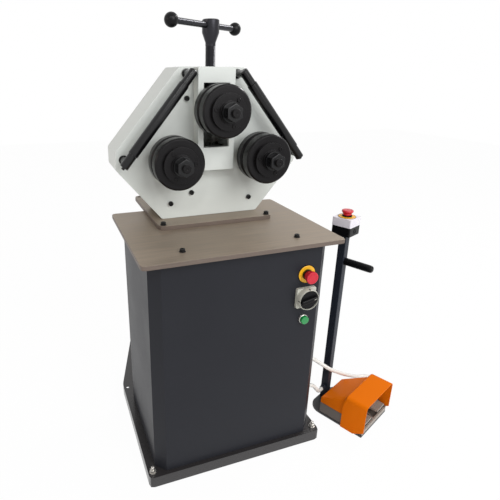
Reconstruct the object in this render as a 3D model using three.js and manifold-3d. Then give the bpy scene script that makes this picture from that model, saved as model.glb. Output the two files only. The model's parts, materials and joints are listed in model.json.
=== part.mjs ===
// Ring roller: a three-roll bending machine on a cabinet, with a separate pedal station.
// Millimetres, X to the right along the front, Y to the back, Z up.
// The origin lies on the floor under the centre of the base rectangle.

import * as THREE from 'three';
import { mergeVertices } from 'three/addons/utils/BufferGeometryUtils.js';
import { ConvexGeometry } from 'three/addons/geometries/ConvexGeometry.js';
import Module from 'manifold-3d';

const wasm = await Module();
wasm.setup();

// Gaps and steps shared by all pieces
const clearance = 0.3;
const overrun = 2;
const fineSteps = 24;
const roundSteps = 20;
const middleSteps = 16;
const smallSteps = 10;
const arcSteps = 2;

// Base
const baseWidth = 560;
const baseDepth = 432;
const baseHeight = 36;
const baseSheet = 4;
const baseCorner = 14;
const tailLength = 362;
const tailEndWidth = 346;
const anchorInsetX = 14;
const anchorInsetY = 22;
const anchorHole = 11;
const channelWidth = 120;
const channelLength = 352;

// Cabinet
const cabinetWidth = 510;
const cabinetDepth = 342;
const cabinetSheet = 3;
const cabinetChamfer = 28;
const cabinetFrontInset = 13;
const cabinetReturn = 20;
const rearPanelMargin = 12;
const louvreCount = 5;
const louvreLength = 150;
const louvreHeight = 6;
const louvrePitch = 16;
const louvreDrop = 120;

// Plates under the head
const topPlateDepth = 432;
const topPlateThickness = 12;
const topPlateCorner = 12;
const topPlateOverhang = 28;
const plateBoltX = 162.5;
const frontBoltInset = 58;
const plateBoltHole = 11;
const headPlateWidth = 355;
const headPlateDepth = 355;
const headPlateThickness = 12;
const headPlateCorner = 20;
const headPlateSetback = 225;
const headBoltInset = 15;
const headBoltHole = 14;

// Head casing
const headSetback = 68;
const headDepth = 125;
const headWall = 10;
const headFrontWall = 25;
const headBottomHalf = 152;
const headSideHalf = 278;
const headTopHalf = 95;
const headLowerRise = 151.5;
const headSideRise = 49.5;
const headUpperRise = 219;
const headEdge = 5;
const headCoverThickness = 10;
const gibWidth = 12;

// Rolls
const rollRadius = 67.5;
const lowerRollX = 129;
const lowerRollRise = 180;
const topRollRise = 310;
const spindleRadius = 15;
const threadRadius = 12;
const stubRadius = 9.5;
const stubLength = 9;
const shoulderRadius = 26;
const journalRadius = 20;
const rearDiscOffset = 43;
const rearDiscWidth = 32;
const grooveWidth = 9;
const grooveRadius = 56;
const frontDiscWidth = 35;
const rimChamfer = 4;
const flangeRadius = 45;
const flangeWidth = 12;
const flangeCollarRadius = 27;
const flangeCollarWidth = 6;
const nutCollarRadius = 23.5;
const nutCollarWidth = 8;
const nutFlats = 37;
const nutWidth = 23;
const nutChamfer = 3;
const flangeScrewCircle = 37;
const flangeScrewRadius = 5;
const flangeScrewHeight = 2;

// Bearings and drive
const bearingRadius = 31;
const bearingFlangeRadius = 38;
const bearingFlangeWidth = 3.7;
const bearingLength = 48;
const driveRise = 17.15;
const rollGearTeeth = 40;
const pinionTeeth = 14;
const gearWidth = 28;
const gearGap = 8;
const toothShares = { root: 0.36, tip: 0.11, addendum: 0.92, dedendum: 1.25 };
const pinionShaftRadius = 15;
const pinionShaftReach = 8;
const gearboxWidth = 140;
const gearboxDepth = 150;
const gearboxHeight = 213;
const gearboxEdge = 12;
const motorRadius = 62;
const motorFinHeight = 5;
const motorFinCount = 14;
const motorFlangeRadius = 70;
const motorFlangeHeight = 10;
const motorBodyHeight = 130;
const motorCowlHeight = 45;
const motorCowlRadius = 66;

// Slide, screw and handle
const slideHalf = 50;
const slotHeight = 207;
const carriageHeight = 84;
const carriageProud = 24;
const carriageDepth = 102;
const screwRadius = 14;
const screwSetback = 15;
const screwHeadRadius = 18;
const screwHeadHeight = 6;
const slotLip = 5.4;
const slotDepth = 12;
const nutBlockHeight = 18;
const nutBlockDepth = 50;
const nutBlockHalf = 45;
const coneRise = 61;
const coneHeight = 24;
const hubRadius = 24;
const hubHeight = 33;
const hubHoleDrop = 15;
const barRadius = 7;
const barAngle = 33.3;
const barLeftReach = 161;
const barRightReach = 118;
const knobRadius = 17.5;
const coverProud = 40;
const coverHalf = 54;
const coverSide = 4;
const coverFront = 12;
const coverHeight = 276;
const windowHalf = 37.5;
const windowSill = 65;
const windowHeight = 170.5;

// Side guide bars
const guideProud = 52;
const guideTopX = 68;
const guideTopDrop = 9.3;
const guideFootX = 265.3;
const guideFootDrop = 250.7;
const guideEndLength = 45;
const guideFootLength = 40;
const guideCapRadius = 12;
const guideSleeveRadius = 14;
const guideAxleRadius = 6;
const guideBoreGap = 0.6;
const guidePostRadius = 10;
const guidePostInset = 10.5;
const guidePostFootInset = 14.4;
const guideFlangeRadius = 13;
const guideFlangeWidth = 5;
const guideScrewProud = 6;

// Controls on the cabinet front
const controlX = 184;
const controlNeckRadius = 11;
const controlNeckDepth = 20;
const controlNutRadius = 15;
const controlNutWidth = 6;
const lampRise = 425;
const selectorAboveLamp = 70;
const estopAboveSelector = 69;
const estopBelowTop = 88;
const estopStemRadius = 6;
const selectorSide = 62;
const selectorThickness = 12;
const selectorCorner = 6;
const selectorCollarRadius = 26.5;
const selectorCollarWidth = 4;
const selectorKnobRadius = 19;
const selectorKnobWidth = 20;
const selectorGripWidth = 10;
const selectorGripCut = 13;
const lampBezelRadius = 14.5;
const lampBezelWidth = 4;
const lampLensRadius = 11.5;
const lampLensHeight = 5;
const cabinetEstop = { ring: 30, ringWidth: 3, collar: 18, collarWidth: 7, travel: 6, cap: 19, capHeight: 13 };
const stationEstop = { ring: 22, ringWidth: 3, collar: 16, collarWidth: 2.5, travel: 6, cap: 19, capHeight: 13 };

// Pedal station
const stationX = 414.1;
const stationY = -260.9;
const stationYaw = 24.2;
const footWidth = 176;
const footDepth = 204;
const footThickness = 8;
const footCorner = 30;
const footRearCorner = 64;
const pedalWidth = 172;
const pedalDepth = 157;
const pedalHeight = 39;
const pedalWall = 6;
const pedalLip = 14;
const pedalRearWall = 27;
const treadleInset = 15;
const treadleWidth = 50;
const treadleFront = 2;
const treadleRear = 96;
const treadlePlate = 5;
const treadleFrontRise = 34;
const treadleRearRise = 40;
const treadlePivotY = 70;
const treadlePivotRise = 26;
const treadleHubRadius = 8;
const treadleAxleRadius = 4;
const treadleRibCount = 9;
const treadleRibHeight = 1.2;
const hoodOverhang = 8;
const hoodFront = 7;
const hoodDepth = 80;
const hoodSheet = 3;
const hoodTop = 126.5;
const hoodFoldRun = 7;
const hoodFoldFall = 13;
const hoodEdge = 14;
const hoodFloorGap = 3;
const hoodSkirtRise = 26;
const hoodSkirtRun = 35;
const hoodSpacerRadius = 6;
const hoodSpacerY = 50;
const hoodSpacerRise = 30;
const guardRearRise = 19.4;
const guardCornerDrop = 17;
const guardShoulderRise = 60;
const guardRidgeRise = 65.5;
const guardSheet = 3;
const guardCrease = 33;
const guardRidgeInset = 16;
const poleSide = 25;
const poleWall = 2;
const poleHeight = 633;
const poleX = 86;
const poleY = 189;
const gripRadius = 11;
const gripLength = 90;
const gripDrop = 93;
const gripBead = 3;
const boxSide = 60;
const boxHeight = 53.7;
const boxEdge = 5;
const boxWall = 3;
const knockoutRadius = 8;
const knockoutDepth = 1;

// Conduits and glands
const conduitRadius = 6.5;
const conduitBore = 4.6;
const ribDepth = 0.7;
const ribPitch = 8.6;
const ribSideCount = 8;
const boreRibCount = 2;
const glandRadius = 9;
const glandNutRadius = 11;
const glandNutWidth = 6;
const glandReach = 20;
const shortGlandReach = 14;
const upperGlandY = -103;
const upperGlandRise = 195;
const lowerGlandY = -118;
const lowerGlandRise = 98;
const pedalGlandY = 83.6;
const pedalGlandRise = 27;
const poleGlandRise = 52;

// Heights and places worked out from the sizes above
const selectorRise = lampRise + selectorAboveLamp;
const estopRise = selectorRise + estopAboveSelector;
const cabinetHeight = estopRise + estopBelowTop;
const gripRise = poleHeight - gripDrop;
const cabinetFrontY = -baseDepth / 2 + cabinetFrontInset;
const cabinetBackY = cabinetFrontY + cabinetDepth;
const cabinetTopZ = baseHeight + cabinetHeight;
const topPlateFrontY = cabinetFrontY - topPlateOverhang;
const topPlateTopZ = cabinetTopZ + topPlateThickness;
const headPlateFrontY = topPlateFrontY + headPlateSetback;
const headBottomZ = topPlateTopZ + headPlateThickness;
const headFrontY = headPlateFrontY + headSetback;
const headBackY = headFrontY + headDepth;
const headTopZ = headBottomZ + headLowerRise + headSideRise + headUpperRise;
const lowerRollZ = headBottomZ + lowerRollRise;
const topRollZ = headBottomZ + topRollRise;
const rearDiscBackY = headFrontY - rearDiscOffset;
const rearDiscFrontY = rearDiscBackY - rearDiscWidth;
const frontDiscFrontY = rearDiscFrontY - grooveWidth - frontDiscWidth;
const flangeFrontY = frontDiscFrontY - flangeWidth;
const flangeCollarFrontY = flangeFrontY - flangeCollarWidth;
const nutCollarFrontY = flangeCollarFrontY - nutCollarWidth;
const nutFrontY = nutCollarFrontY - nutWidth;
const driveAngle = THREE.MathUtils.degToRad(driveRise);
const pinionZ = lowerRollZ - lowerRollX * Math.tan(driveAngle);
const gearModule = 2 * lowerRollX / Math.cos(driveAngle) / (rollGearTeeth + pinionTeeth);
const carriageFrontY = headFrontY - carriageProud;
const carriageBackY = carriageFrontY + carriageDepth;
const gearFrontY = carriageBackY + gearGap;
const screwY = headFrontY + screwSetback;
const slotTopZ = headTopZ - headWall;
const slotBottomZ = slotTopZ - slotHeight;
const carriageTopZ = topRollZ + carriageHeight / 2;
const screwTipZ = carriageTopZ - slotDepth + clearance;
const coneZ = headTopZ + coneRise;
const hubZ = coneZ + coneHeight;
const barZ = hubZ + hubHeight - hubHoleDrop;
const coverFrontY = headFrontY - coverProud;
const pedalFloorZ = footThickness + clearance;
const guardRimZ = pedalFloorZ + pedalHeight + clearance;

function solidOf(geometry) {
  const bare = geometry.clone();
  bare.deleteAttribute('normal');
  bare.deleteAttribute('uv');
  const welded = mergeVertices(bare);
  const corners = welded.getAttribute('position');
  const order = [];
  let volume = 0;
  const [a, b, c] = [new THREE.Vector3(), new THREE.Vector3(), new THREE.Vector3()];
  for (let i = 0; i < welded.index.count; i += 3) {
    const face = [0, 1, 2].map((step) => welded.index.getX(i + step));
    if (new Set(face).size < 3) continue;
    a.fromBufferAttribute(corners, face[0]);
    b.fromBufferAttribute(corners, face[1]);
    c.fromBufferAttribute(corners, face[2]);
    volume += a.dot(b.cross(c));
    order.push(face);
  }
  const turned = volume < 0 ? order.map(([p, q, r]) => [p, r, q]) : order;
  const vertProperties = new Float32Array(corners.array);
  const triVerts = new Uint32Array(turned.flat());
  return new wasm.Manifold(new wasm.Mesh({ numProp: 3, vertProperties, triVerts }));
}

function geometryOf(solid) {
  const mesh = solid.getMesh();
  const geometry = new THREE.BufferGeometry();
  geometry.setAttribute('position', new THREE.BufferAttribute(new Float32Array(mesh.vertProperties), 3));
  geometry.setIndex(new THREE.BufferAttribute(new Uint32Array(mesh.triVerts), 1));
  geometry.computeVertexNormals();
  return geometry;
}

function joined(...solids) {
  return solids.reduce((whole, piece) => whole.add(piece));
}

function cut(solid, ...tools) {
  return tools.reduce((rest, tool) => rest.subtract(tool), solid);
}

// Outline whose corners are [x, y, radius]
function outline(corners) {
  const shape = new THREE.Shape();
  const count = corners.length;
  corners.forEach(([x, y, radius], i) => {
    const here = new THREE.Vector2(x, y);
    const before = new THREE.Vector2(...corners[(i + count - 1) % count].slice(0, 2)).sub(here);
    const after = new THREE.Vector2(...corners[(i + 1) % count].slice(0, 2)).sub(here);
    const reach = Math.min(radius, before.length() / 2, after.length() / 2);
    const start = before.setLength(reach).add(here);
    const end = after.setLength(reach).add(here);
    if (i === 0) shape.moveTo(start.x, start.y);
    else shape.lineTo(start.x, start.y);
    if (radius > 0) shape.quadraticCurveTo(x, y, end.x, end.y);
  });
  shape.closePath();
  return shape;
}

// Convex outline drawn in by a distance on every side
function inset(corners, distance) {
  const count = corners.length;
  return corners.map(([x, y, radius], i) => {
    const [px, py] = corners[(i + count - 1) % count];
    const [nx, ny] = corners[(i + 1) % count];
    const before = new THREE.Vector2(x - px, y - py).normalize();
    const after = new THREE.Vector2(nx - x, ny - y).normalize();
    const normalBefore = new THREE.Vector2(-before.y, before.x);
    const normalAfter = new THREE.Vector2(-after.y, after.x);
    const bisector = normalBefore.clone().add(normalAfter);
    const reach = distance / (bisector.lengthSq() / 2);
    return [x + bisector.x * reach, y + bisector.y * reach, Math.max(radius - distance, 0)];
  });
}

function rectangle(left, low, right, high, radius = 0) {
  return [[left, low, radius], [right, low, radius], [right, high, radius], [left, high, radius]];
}

// Outline in X and Y, raised along Z
function standing(corners, low, high) {
  const options = { depth: high - low, bevelEnabled: false, curveSegments: arcSteps };
  return solidOf(new THREE.ExtrudeGeometry(outline(corners), options).translate(0, 0, low));
}

// Outline in X and Z, drawn along Y
function lengthwise(corners, front, back) {
  const options = { depth: back - front, bevelEnabled: false, curveSegments: arcSteps };
  const geometry = new THREE.ExtrudeGeometry(outline(corners), options);
  return solidOf(geometry.rotateX(Math.PI / 2).translate(0, back, 0));
}

// Outline in Y and Z, drawn along X
function sideways(corners, left, right) {
  const options = { depth: right - left, bevelEnabled: false, curveSegments: arcSteps };
  const geometry = new THREE.ExtrudeGeometry(outline(corners), options);
  const turn = new THREE.Matrix4().makeBasis(
    new THREE.Vector3(0, 1, 0), new THREE.Vector3(0, 0, 1), new THREE.Vector3(1, 0, 0));
  return solidOf(geometry.applyMatrix4(turn).translate(left, 0, 0));
}

function block(left, right, front, back, low, high) {
  const geometry = new THREE.BoxGeometry(right - left, back - front, high - low);
  return solidOf(geometry.translate((left + right) / 2, (front + back) / 2, (low + high) / 2));
}

// Round bar between two points
function rod(radius, from, to, steps = roundSteps) {
  const along = new THREE.Vector3().subVectors(to, from);
  const geometry = new THREE.CylinderGeometry(radius, radius, along.length(), steps);
  const turn = new THREE.Quaternion().setFromUnitVectors(new THREE.Vector3(0, 1, 0), along.clone().normalize());
  const middle = new THREE.Vector3().addVectors(from, to).divideScalar(2);
  return solidOf(geometry.applyQuaternion(turn).translate(middle.x, middle.y, middle.z));
}

function at(x, y, z) {
  return new THREE.Vector3(x, y, z);
}

// Profile of [radius, y] turned about an axis parallel to Y
function turnedAlongY(profile, x, z, steps = roundSteps) {
  const points = profile.map(([radius, y]) => new THREE.Vector2(radius, y));
  return solidOf(new THREE.LatheGeometry(points, steps).translate(x, 0, z));
}

// Profile of [radius, z] turned about an axis parallel to Z
function turnedAlongZ(profile, x, y, steps = roundSteps) {
  const points = profile.map(([radius, z]) => new THREE.Vector2(radius, z));
  return solidOf(new THREE.LatheGeometry(points, steps).rotateX(Math.PI / 2).translate(x, y, 0));
}

function finish(color, roughness, metalness) {
  return new THREE.MeshStandardMaterial({ color, roughness, metalness });
}

const greyPaint = finish(0x373a3f, 0.5, 0.2);
const lightPaint = finish(0xcbcfca, 0.45, 0.1);
const groundSteel = finish(0xa8a195, 0.35, 0.9);
const blackSteel = finish(0x29292a, 0.4, 0.7);
const plainSteel = finish(0x9a9a98, 0.4, 0.9);
const blackPlastic = finish(0x1a1a1c, 0.4, 0);
const greyPlastic = finish(0xafafa5, 0.5, 0);
const redPlastic = finish(0xcd2d3c, 0.35, 0);
const yellowPlastic = finish(0xe1a51e, 0.4, 0);
const greenGlass = finish(0x00a555, 0.2, 0);
const orangePaint = finish(0xe16e19, 0.35, 0);
const castGrey = finish(0x5f5550, 0.6, 0.3);
const treadleGrey = finish(0x968c82, 0.6, 0.1);
const conduitGrey = finish(0xd7cdc3, 0.6, 0);

const machine = new THREE.Group();
const station = new THREE.Group();
station.position.set(stationX, stationY, 0);
station.rotation.z = THREE.MathUtils.degToRad(stationYaw);
machine.add(station);

function place(name, solid, material, parent = machine) {
  const mesh = new THREE.Mesh(geometryOf(solid), material);
  mesh.name = name;
  parent.add(mesh);
}

// Base with turned-down edges, a tail behind and a stiffening channel below
function basePlate() {
  const halfWidth = baseWidth / 2;
  const halfDepth = baseDepth / 2;
  const halfTail = tailEndWidth / 2;
  const edge = [
    [-halfWidth, -halfDepth, baseCorner], [halfWidth, -halfDepth, baseCorner],
    [halfWidth, halfDepth, baseCorner], [halfTail, halfDepth + tailLength, baseCorner],
    [-halfTail, halfDepth + tailLength, baseCorner], [-halfWidth, halfDepth, baseCorner]];
  const under = standing(inset(edge, baseSheet), -overrun, baseHeight - baseSheet);
  const channelHalf = channelWidth / 2;
  const channelFrontY = -halfDepth + baseSheet / 2;
  const channel = cut(
    block(-channelHalf, channelHalf, channelFrontY, channelFrontY + channelLength, 0, baseHeight - baseSheet / 2),
    block(-channelHalf + baseSheet, channelHalf - baseSheet, channelFrontY + baseSheet,
      channelFrontY + channelLength + overrun, baseSheet, baseHeight - baseSheet));
  const holes = [];
  for (const side of [-1, 1]) {
    for (const end of [-1, 1]) {
      const x = side * (halfWidth - anchorInsetX);
      const y = end * (halfDepth - anchorInsetY);
      holes.push(rod(anchorHole / 2, at(x, y, 0), at(x, y, baseHeight + overrun), smallSteps));
    }
  }
  return cut(joined(cut(standing(edge, 0, baseHeight), under), channel), ...holes);
}

// Folded cabinet sheet: front, chamfers, sides and the returns behind
function cabinetShell() {
  const half = cabinetWidth / 2;
  const edge = [
    [-half + cabinetChamfer, cabinetFrontY, 0], [half - cabinetChamfer, cabinetFrontY, 0],
    [half, cabinetFrontY + cabinetChamfer, 0], [half, cabinetBackY, 0],
    [-half, cabinetBackY, 0], [-half, cabinetFrontY + cabinetChamfer, 0]];
  const low = baseHeight - overrun;
  const high = cabinetTopZ + overrun;
  const backHalf = half - cabinetSheet - cabinetReturn;
  const holes = [estopRise, selectorRise, lampRise].map((rise) => {
    const z = baseHeight + rise;
    return rod(controlNeckRadius + clearance, at(controlX, cabinetFrontY - overrun, z),
      at(controlX, cabinetFrontY + cabinetSheet + overrun, z), roundSteps);
  });
  for (const [y, rise] of [[upperGlandY, upperGlandRise], [lowerGlandY, lowerGlandRise]]) {
    holes.push(rod(glandRadius + clearance, at(half - cabinetSheet - overrun, y, baseHeight + rise),
      at(half + overrun, y, baseHeight + rise), smallSteps));
  }
  return cut(standing(edge, baseHeight, cabinetTopZ), standing(inset(edge, cabinetSheet), low, high),
    block(-backHalf, backHalf, cabinetBackY - cabinetSheet - overrun, cabinetBackY + overrun, low, high), ...holes);
}

function cabinetRearPanel() {
  const half = cabinetWidth / 2 - rearPanelMargin;
  const low = baseHeight + rearPanelMargin;
  const high = cabinetTopZ - rearPanelMargin;
  const slots = [];
  for (let i = 0; i < louvreCount; i += 1) {
    const z = high - louvreDrop - i * louvrePitch;
    slots.push(block(-louvreLength / 2, louvreLength / 2, cabinetBackY - overrun,
      cabinetBackY + cabinetSheet + overrun, z - louvreHeight / 2, z + louvreHeight / 2));
  }
  return cut(block(-half, half, cabinetBackY, cabinetBackY + cabinetSheet, low, high), ...slots);
}

function uprightHoles(radius, places, low, high) {
  return places.map(([x, y]) => rod(radius, at(x, y, low - overrun), at(x, y, high + overrun), smallSteps));
}

function topPlate() {
  const half = baseWidth / 2;
  const plate = standing(
    rectangle(-half, topPlateFrontY, half, topPlateFrontY + topPlateDepth, topPlateCorner),
    cabinetTopZ, topPlateTopZ);
  const rows = [topPlateFrontY + frontBoltInset, headPlateFrontY + headBoltInset];
  const places = rows.flatMap((y) => [[-plateBoltX, y], [plateBoltX, y]]);
  return cut(plate, ...uprightHoles(plateBoltHole / 2, places, cabinetTopZ, topPlateTopZ));
}

function headBasePlate() {
  const half = headPlateWidth / 2;
  const backY = headPlateFrontY + headPlateDepth;
  const plate = standing(rectangle(-half, headPlateFrontY, half, backY, headPlateCorner), topPlateTopZ, headBottomZ);
  const rows = [headPlateFrontY + headBoltInset, backY - headBoltInset];
  const places = rows.flatMap((y) => [[-half + headBoltInset, y], [half - headBoltInset, y]]);
  return cut(plate, ...uprightHoles(headBoltHole / 2, places, topPlateTopZ, headBottomZ));
}

function headOutline() {
  const lowSideZ = headBottomZ + headLowerRise;
  const highSideZ = lowSideZ + headSideRise;
  return [
    [-headBottomHalf, headBottomZ, headEdge], [headBottomHalf, headBottomZ, headEdge],
    [headSideHalf, lowSideZ, headEdge], [headSideHalf, highSideZ, headEdge],
    [headTopHalf, headTopZ, headEdge], [-headTopHalf, headTopZ, headEdge],
    [-headSideHalf, highSideZ, headEdge], [-headSideHalf, lowSideZ, headEdge]];
}

// Six-sided casing: thick front wall, bearing bores, slide slot with gibs, screw hole on top
function headCasing() {
  const innerFrontY = headFrontY + headFrontWall;
  const gibs = [-1, 1].map((side) => {
    const [left, right] = [side * slideHalf, side * (slideHalf + gibWidth)].sort((p, q) => p - q);
    return block(left, right, innerFrontY - overrun, carriageBackY, slotBottomZ, slotTopZ + overrun);
  });
  const bores = [-lowerRollX, lowerRollX].map((x) => rod(bearingRadius + clearance,
    at(x, headFrontY - overrun, lowerRollZ), at(x, innerFrontY + overrun, lowerRollZ)));
  const hollow = lengthwise(inset(headOutline(), headWall), innerFrontY, headBackY + overrun);
  const slot = block(-slideHalf, slideHalf, headFrontY - overrun, carriageBackY, slotBottomZ, slotTopZ);
  const screwHole = rod(screwRadius + clearance, at(0, screwY, slotTopZ - overrun), at(0, screwY, headTopZ + overrun));
  const shell = cut(lengthwise(headOutline(), headFrontY, headBackY), hollow);
  return cut(joined(shell, ...gibs), slot, screwHole, ...bores);
}

function headBackCover() {
  const hole = rod(pinionShaftRadius + clearance, at(0, headBackY - overrun, pinionZ),
    at(0, headBackY + headCoverThickness + overrun, pinionZ));
  return cut(lengthwise(headOutline(), headBackY, headBackY + headCoverThickness), hole);
}

// Box over the slide with a tall window for the top spindle
function slideCover() {
  const low = headTopZ - coverHeight;
  const sill = low + windowSill;
  const inner = coverHalf - coverSide;
  return cut(
    lengthwise(rectangle(-coverHalf, low, coverHalf, headTopZ, coverSide), coverFrontY, headFrontY),
    block(-inner, inner, coverFrontY + coverFront, headFrontY + overrun, low + coverFront, slotTopZ),
    block(-windowHalf, windowHalf, coverFrontY - overrun, coverFrontY + coverFront + overrun,
      sill, sill + windowHeight));
}

function bearing(x) {
  const frontY = headFrontY - bearingFlangeWidth;
  const backY = headFrontY + bearingLength;
  const bore = journalRadius + clearance;
  return turnedAlongY([
    [bore, frontY], [bearingFlangeRadius, frontY], [bearingFlangeRadius, headFrontY],
    [bearingRadius, headFrontY], [bearingRadius, backY], [bore, backY], [bore, frontY]], x, lowerRollZ);
}

// Sliding block that carries the top spindle, with a slot on top for the screw's head
function carriage() {
  const half = slideHalf - clearance;
  const low = topRollZ - carriageHeight / 2;
  const lipZ = carriageTopZ - slotLip;
  const floorZ = carriageTopZ - slotDepth;
  const neck = screwRadius + clearance;
  const head = screwHeadRadius + clearance;
  return cut(
    block(-half, half, carriageFrontY, carriageBackY - clearance, low, carriageTopZ),
    rod(journalRadius + clearance, at(0, carriageFrontY - overrun, topRollZ),
      at(0, carriageBackY + overrun, topRollZ)),
    block(-neck, neck, carriageFrontY - overrun, screwY, floorZ, carriageTopZ + overrun),
    rod(neck, at(0, screwY, floorZ), at(0, screwY, carriageTopZ + overrun)),
    block(-head, head, carriageFrontY - overrun, screwY, floorZ, lipZ),
    rod(head, at(0, screwY, floorZ), at(0, screwY, lipZ)));
}

function screwNut() {
  return cut(
    block(-nutBlockHalf, nutBlockHalf, headFrontY + clearance, headFrontY + nutBlockDepth,
      slotTopZ - nutBlockHeight, slotTopZ - clearance),
    rod(screwRadius + clearance, at(0, screwY, slotTopZ - nutBlockHeight - overrun),
      at(0, screwY, slotTopZ + overrun)));
}

function barDirection() {
  const angle = THREE.MathUtils.degToRad(barAngle);
  return new THREE.Vector3(Math.cos(angle), Math.sin(angle), 0);
}

function barPoint(distance) {
  return at(0, screwY, barZ).addScaledVector(barDirection(), distance);
}

function adjustingScrew() {
  const top = hubZ + hubHeight;
  const headTop = screwTipZ + screwHeadHeight;
  const body = turnedAlongZ([
    [0, screwTipZ], [screwHeadRadius, screwTipZ], [screwHeadRadius, headTop], [screwRadius, headTop],
    [screwRadius, coneZ], [hubRadius, hubZ], [hubRadius, top - nutChamfer], [hubRadius - nutChamfer, top],
    [0, top]], 0, screwY, roundSteps);
  return cut(body, rod(barRadius + clearance, barPoint(-2 * hubRadius), barPoint(2 * hubRadius), smallSteps));
}

function tommyKnob(reach) {
  const ball = new THREE.SphereGeometry(knobRadius, smallSteps, smallSteps / 2);
  const centre = barPoint(reach);
  const hole = rod(barRadius + clearance, barPoint(0), barPoint(reach + Math.sign(reach) * clearance), smallSteps);
  return cut(solidOf(ball.translate(centre.x, centre.y, centre.z)), hole);
}

// Spindle of one roll: journal, shoulder, seat, thread and the stub in front
function spindle(x, z, shoulderBackY, journalBackY, tailBackY) {
  const shoulderFrontY = rearDiscBackY + clearance;
  const seatFrontY = flangeCollarFrontY + clearance;
  const stubFrontY = nutFrontY - stubLength;
  return turnedAlongY([
    [0, stubFrontY + clearance], [stubRadius / 2, stubFrontY], [stubRadius, stubFrontY], [stubRadius, nutFrontY],
    [threadRadius, nutFrontY], [threadRadius, seatFrontY], [spindleRadius, seatFrontY],
    [spindleRadius, shoulderFrontY], [shoulderRadius, shoulderFrontY], [shoulderRadius, shoulderBackY],
    [journalRadius, shoulderBackY], [journalRadius, journalBackY], [spindleRadius, journalBackY],
    [spindleRadius, tailBackY], [0, tailBackY]], x, z, middleSteps);
}

function rearDisc(x, z) {
  const bore = spindleRadius + clearance;
  const back = rearDiscBackY;
  const front = rearDiscFrontY;
  const rim = rollRadius - rimChamfer;
  return turnedAlongY([
    [bore, front], [rim, front], [rollRadius, front + rimChamfer], [rollRadius, back - rimChamfer],
    [rim, back], [bore, back], [bore, front]], x, z, fineSteps);
}

function frontDisc(x, z) {
  const bore = spindleRadius + clearance;
  const back = rearDiscFrontY - clearance;
  const step = rearDiscFrontY - grooveWidth;
  const front = frontDiscFrontY;
  const rim = rollRadius - rimChamfer;
  return turnedAlongY([
    [bore, front], [rim, front], [rollRadius, front + rimChamfer], [rollRadius, step - rimChamfer],
    [rim, step], [grooveRadius, step], [grooveRadius, back], [bore, back], [bore, front]], x, z, fineSteps);
}

// Flange disc with its collar and three screw heads
function flangeDisc(x, z, firstAngle) {
  const bore = spindleRadius + clearance;
  const back = frontDiscFrontY - clearance;
  const disc = turnedAlongY([
    [bore, flangeCollarFrontY], [flangeCollarRadius, flangeCollarFrontY], [flangeCollarRadius, flangeFrontY],
    [flangeRadius, flangeFrontY], [flangeRadius, back], [bore, back], [bore, flangeCollarFrontY]], x, z);
  const heads = [0, 1, 2].map((i) => {
    const angle = THREE.MathUtils.degToRad(firstAngle) + i * 2 * Math.PI / 3;
    const headX = x + flangeScrewCircle * Math.cos(angle);
    const headZ = z + flangeScrewCircle * Math.sin(angle);
    return rod(flangeScrewRadius, at(headX, flangeFrontY - flangeScrewHeight, headZ),
      at(headX, flangeFrontY + overrun, headZ), smallSteps);
  });
  return joined(disc, ...heads);
}

function rollNut(x, z) {
  const back = flangeCollarFrontY - clearance;
  const corner = nutFlats / Math.sqrt(3);
  const sides = [0, 1, 2, 3, 4, 5].map((i) => {
    const angle = i * Math.PI / 3;
    return [x + corner * Math.cos(angle), z + corner * Math.sin(angle), 0];
  });
  const hexagon = lengthwise(sides, nutFrontY, nutCollarFrontY + overrun);
  const rounding = turnedAlongY([
    [0, nutFrontY], [corner - nutChamfer, nutFrontY], [corner, nutFrontY + nutChamfer],
    [corner, nutCollarFrontY], [nutCollarRadius, nutCollarFrontY], [nutCollarRadius, back], [0, back]], x, z);
  const collar = turnedAlongY([
    [0, nutCollarFrontY], [nutCollarRadius, nutCollarFrontY], [nutCollarRadius, back], [0, back]], x, z);
  const bore = rod(threadRadius + clearance, at(x, nutFrontY - overrun, z), at(x, back + overrun, z));
  return cut(joined(hexagon.intersect(rounding), collar), bore);
}

// Spur gear outline with straight-sided teeth, one tooth centred on the phase angle
function gearOutline(teeth, x, z, phase) {
  const pitchRadius = gearModule * teeth / 2;
  const toothAngle = 2 * Math.PI / teeth;
  const tip = pitchRadius + gearModule * toothShares.addendum;
  const root = pitchRadius - gearModule * toothShares.dedendum;
  const flanks = [
    [root, -toothShares.root], [tip, -toothShares.tip], [tip, toothShares.tip], [root, toothShares.root]];
  const corners = [];
  for (let i = 0; i < teeth; i += 1) {
    for (const [radius, share] of flanks) {
      const angle = phase + (i + share) * toothAngle;
      corners.push([x + radius * Math.cos(angle), z + radius * Math.sin(angle), 0]);
    }
  }
  return corners;
}

function rollGear(x, phase) {
  const bore = rod(spindleRadius + clearance, at(x, gearFrontY - overrun, lowerRollZ),
    at(x, gearFrontY + gearWidth + overrun, lowerRollZ));
  return cut(lengthwise(gearOutline(rollGearTeeth, x, lowerRollZ, phase), gearFrontY, gearFrontY + gearWidth), bore);
}

// The pinion has a tooth on the line to the right gear; both gears turn to mesh with it
function gearPhases() {
  const gearStep = 2 * Math.PI / rollGearTeeth;
  const pinionStep = 2 * Math.PI / pinionTeeth;
  const leftLine = Math.PI - driveAngle;
  const away = (driveAngle - leftLine) / pinionStep;
  const lead = away - Math.round(away);
  return { right: driveAngle + Math.PI + gearStep / 2, left: -driveAngle + (0.5 - lead) * gearStep };
}

function drivePinion() {
  const backY = headBackY + headCoverThickness + pinionShaftReach;
  const teeth = lengthwise(gearOutline(pinionTeeth, 0, pinionZ, driveAngle), gearFrontY, gearFrontY + gearWidth);
  return joined(teeth, rod(pinionShaftRadius, at(0, gearFrontY + gearWidth - overrun, pinionZ), at(0, backY, pinionZ)));
}

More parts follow.
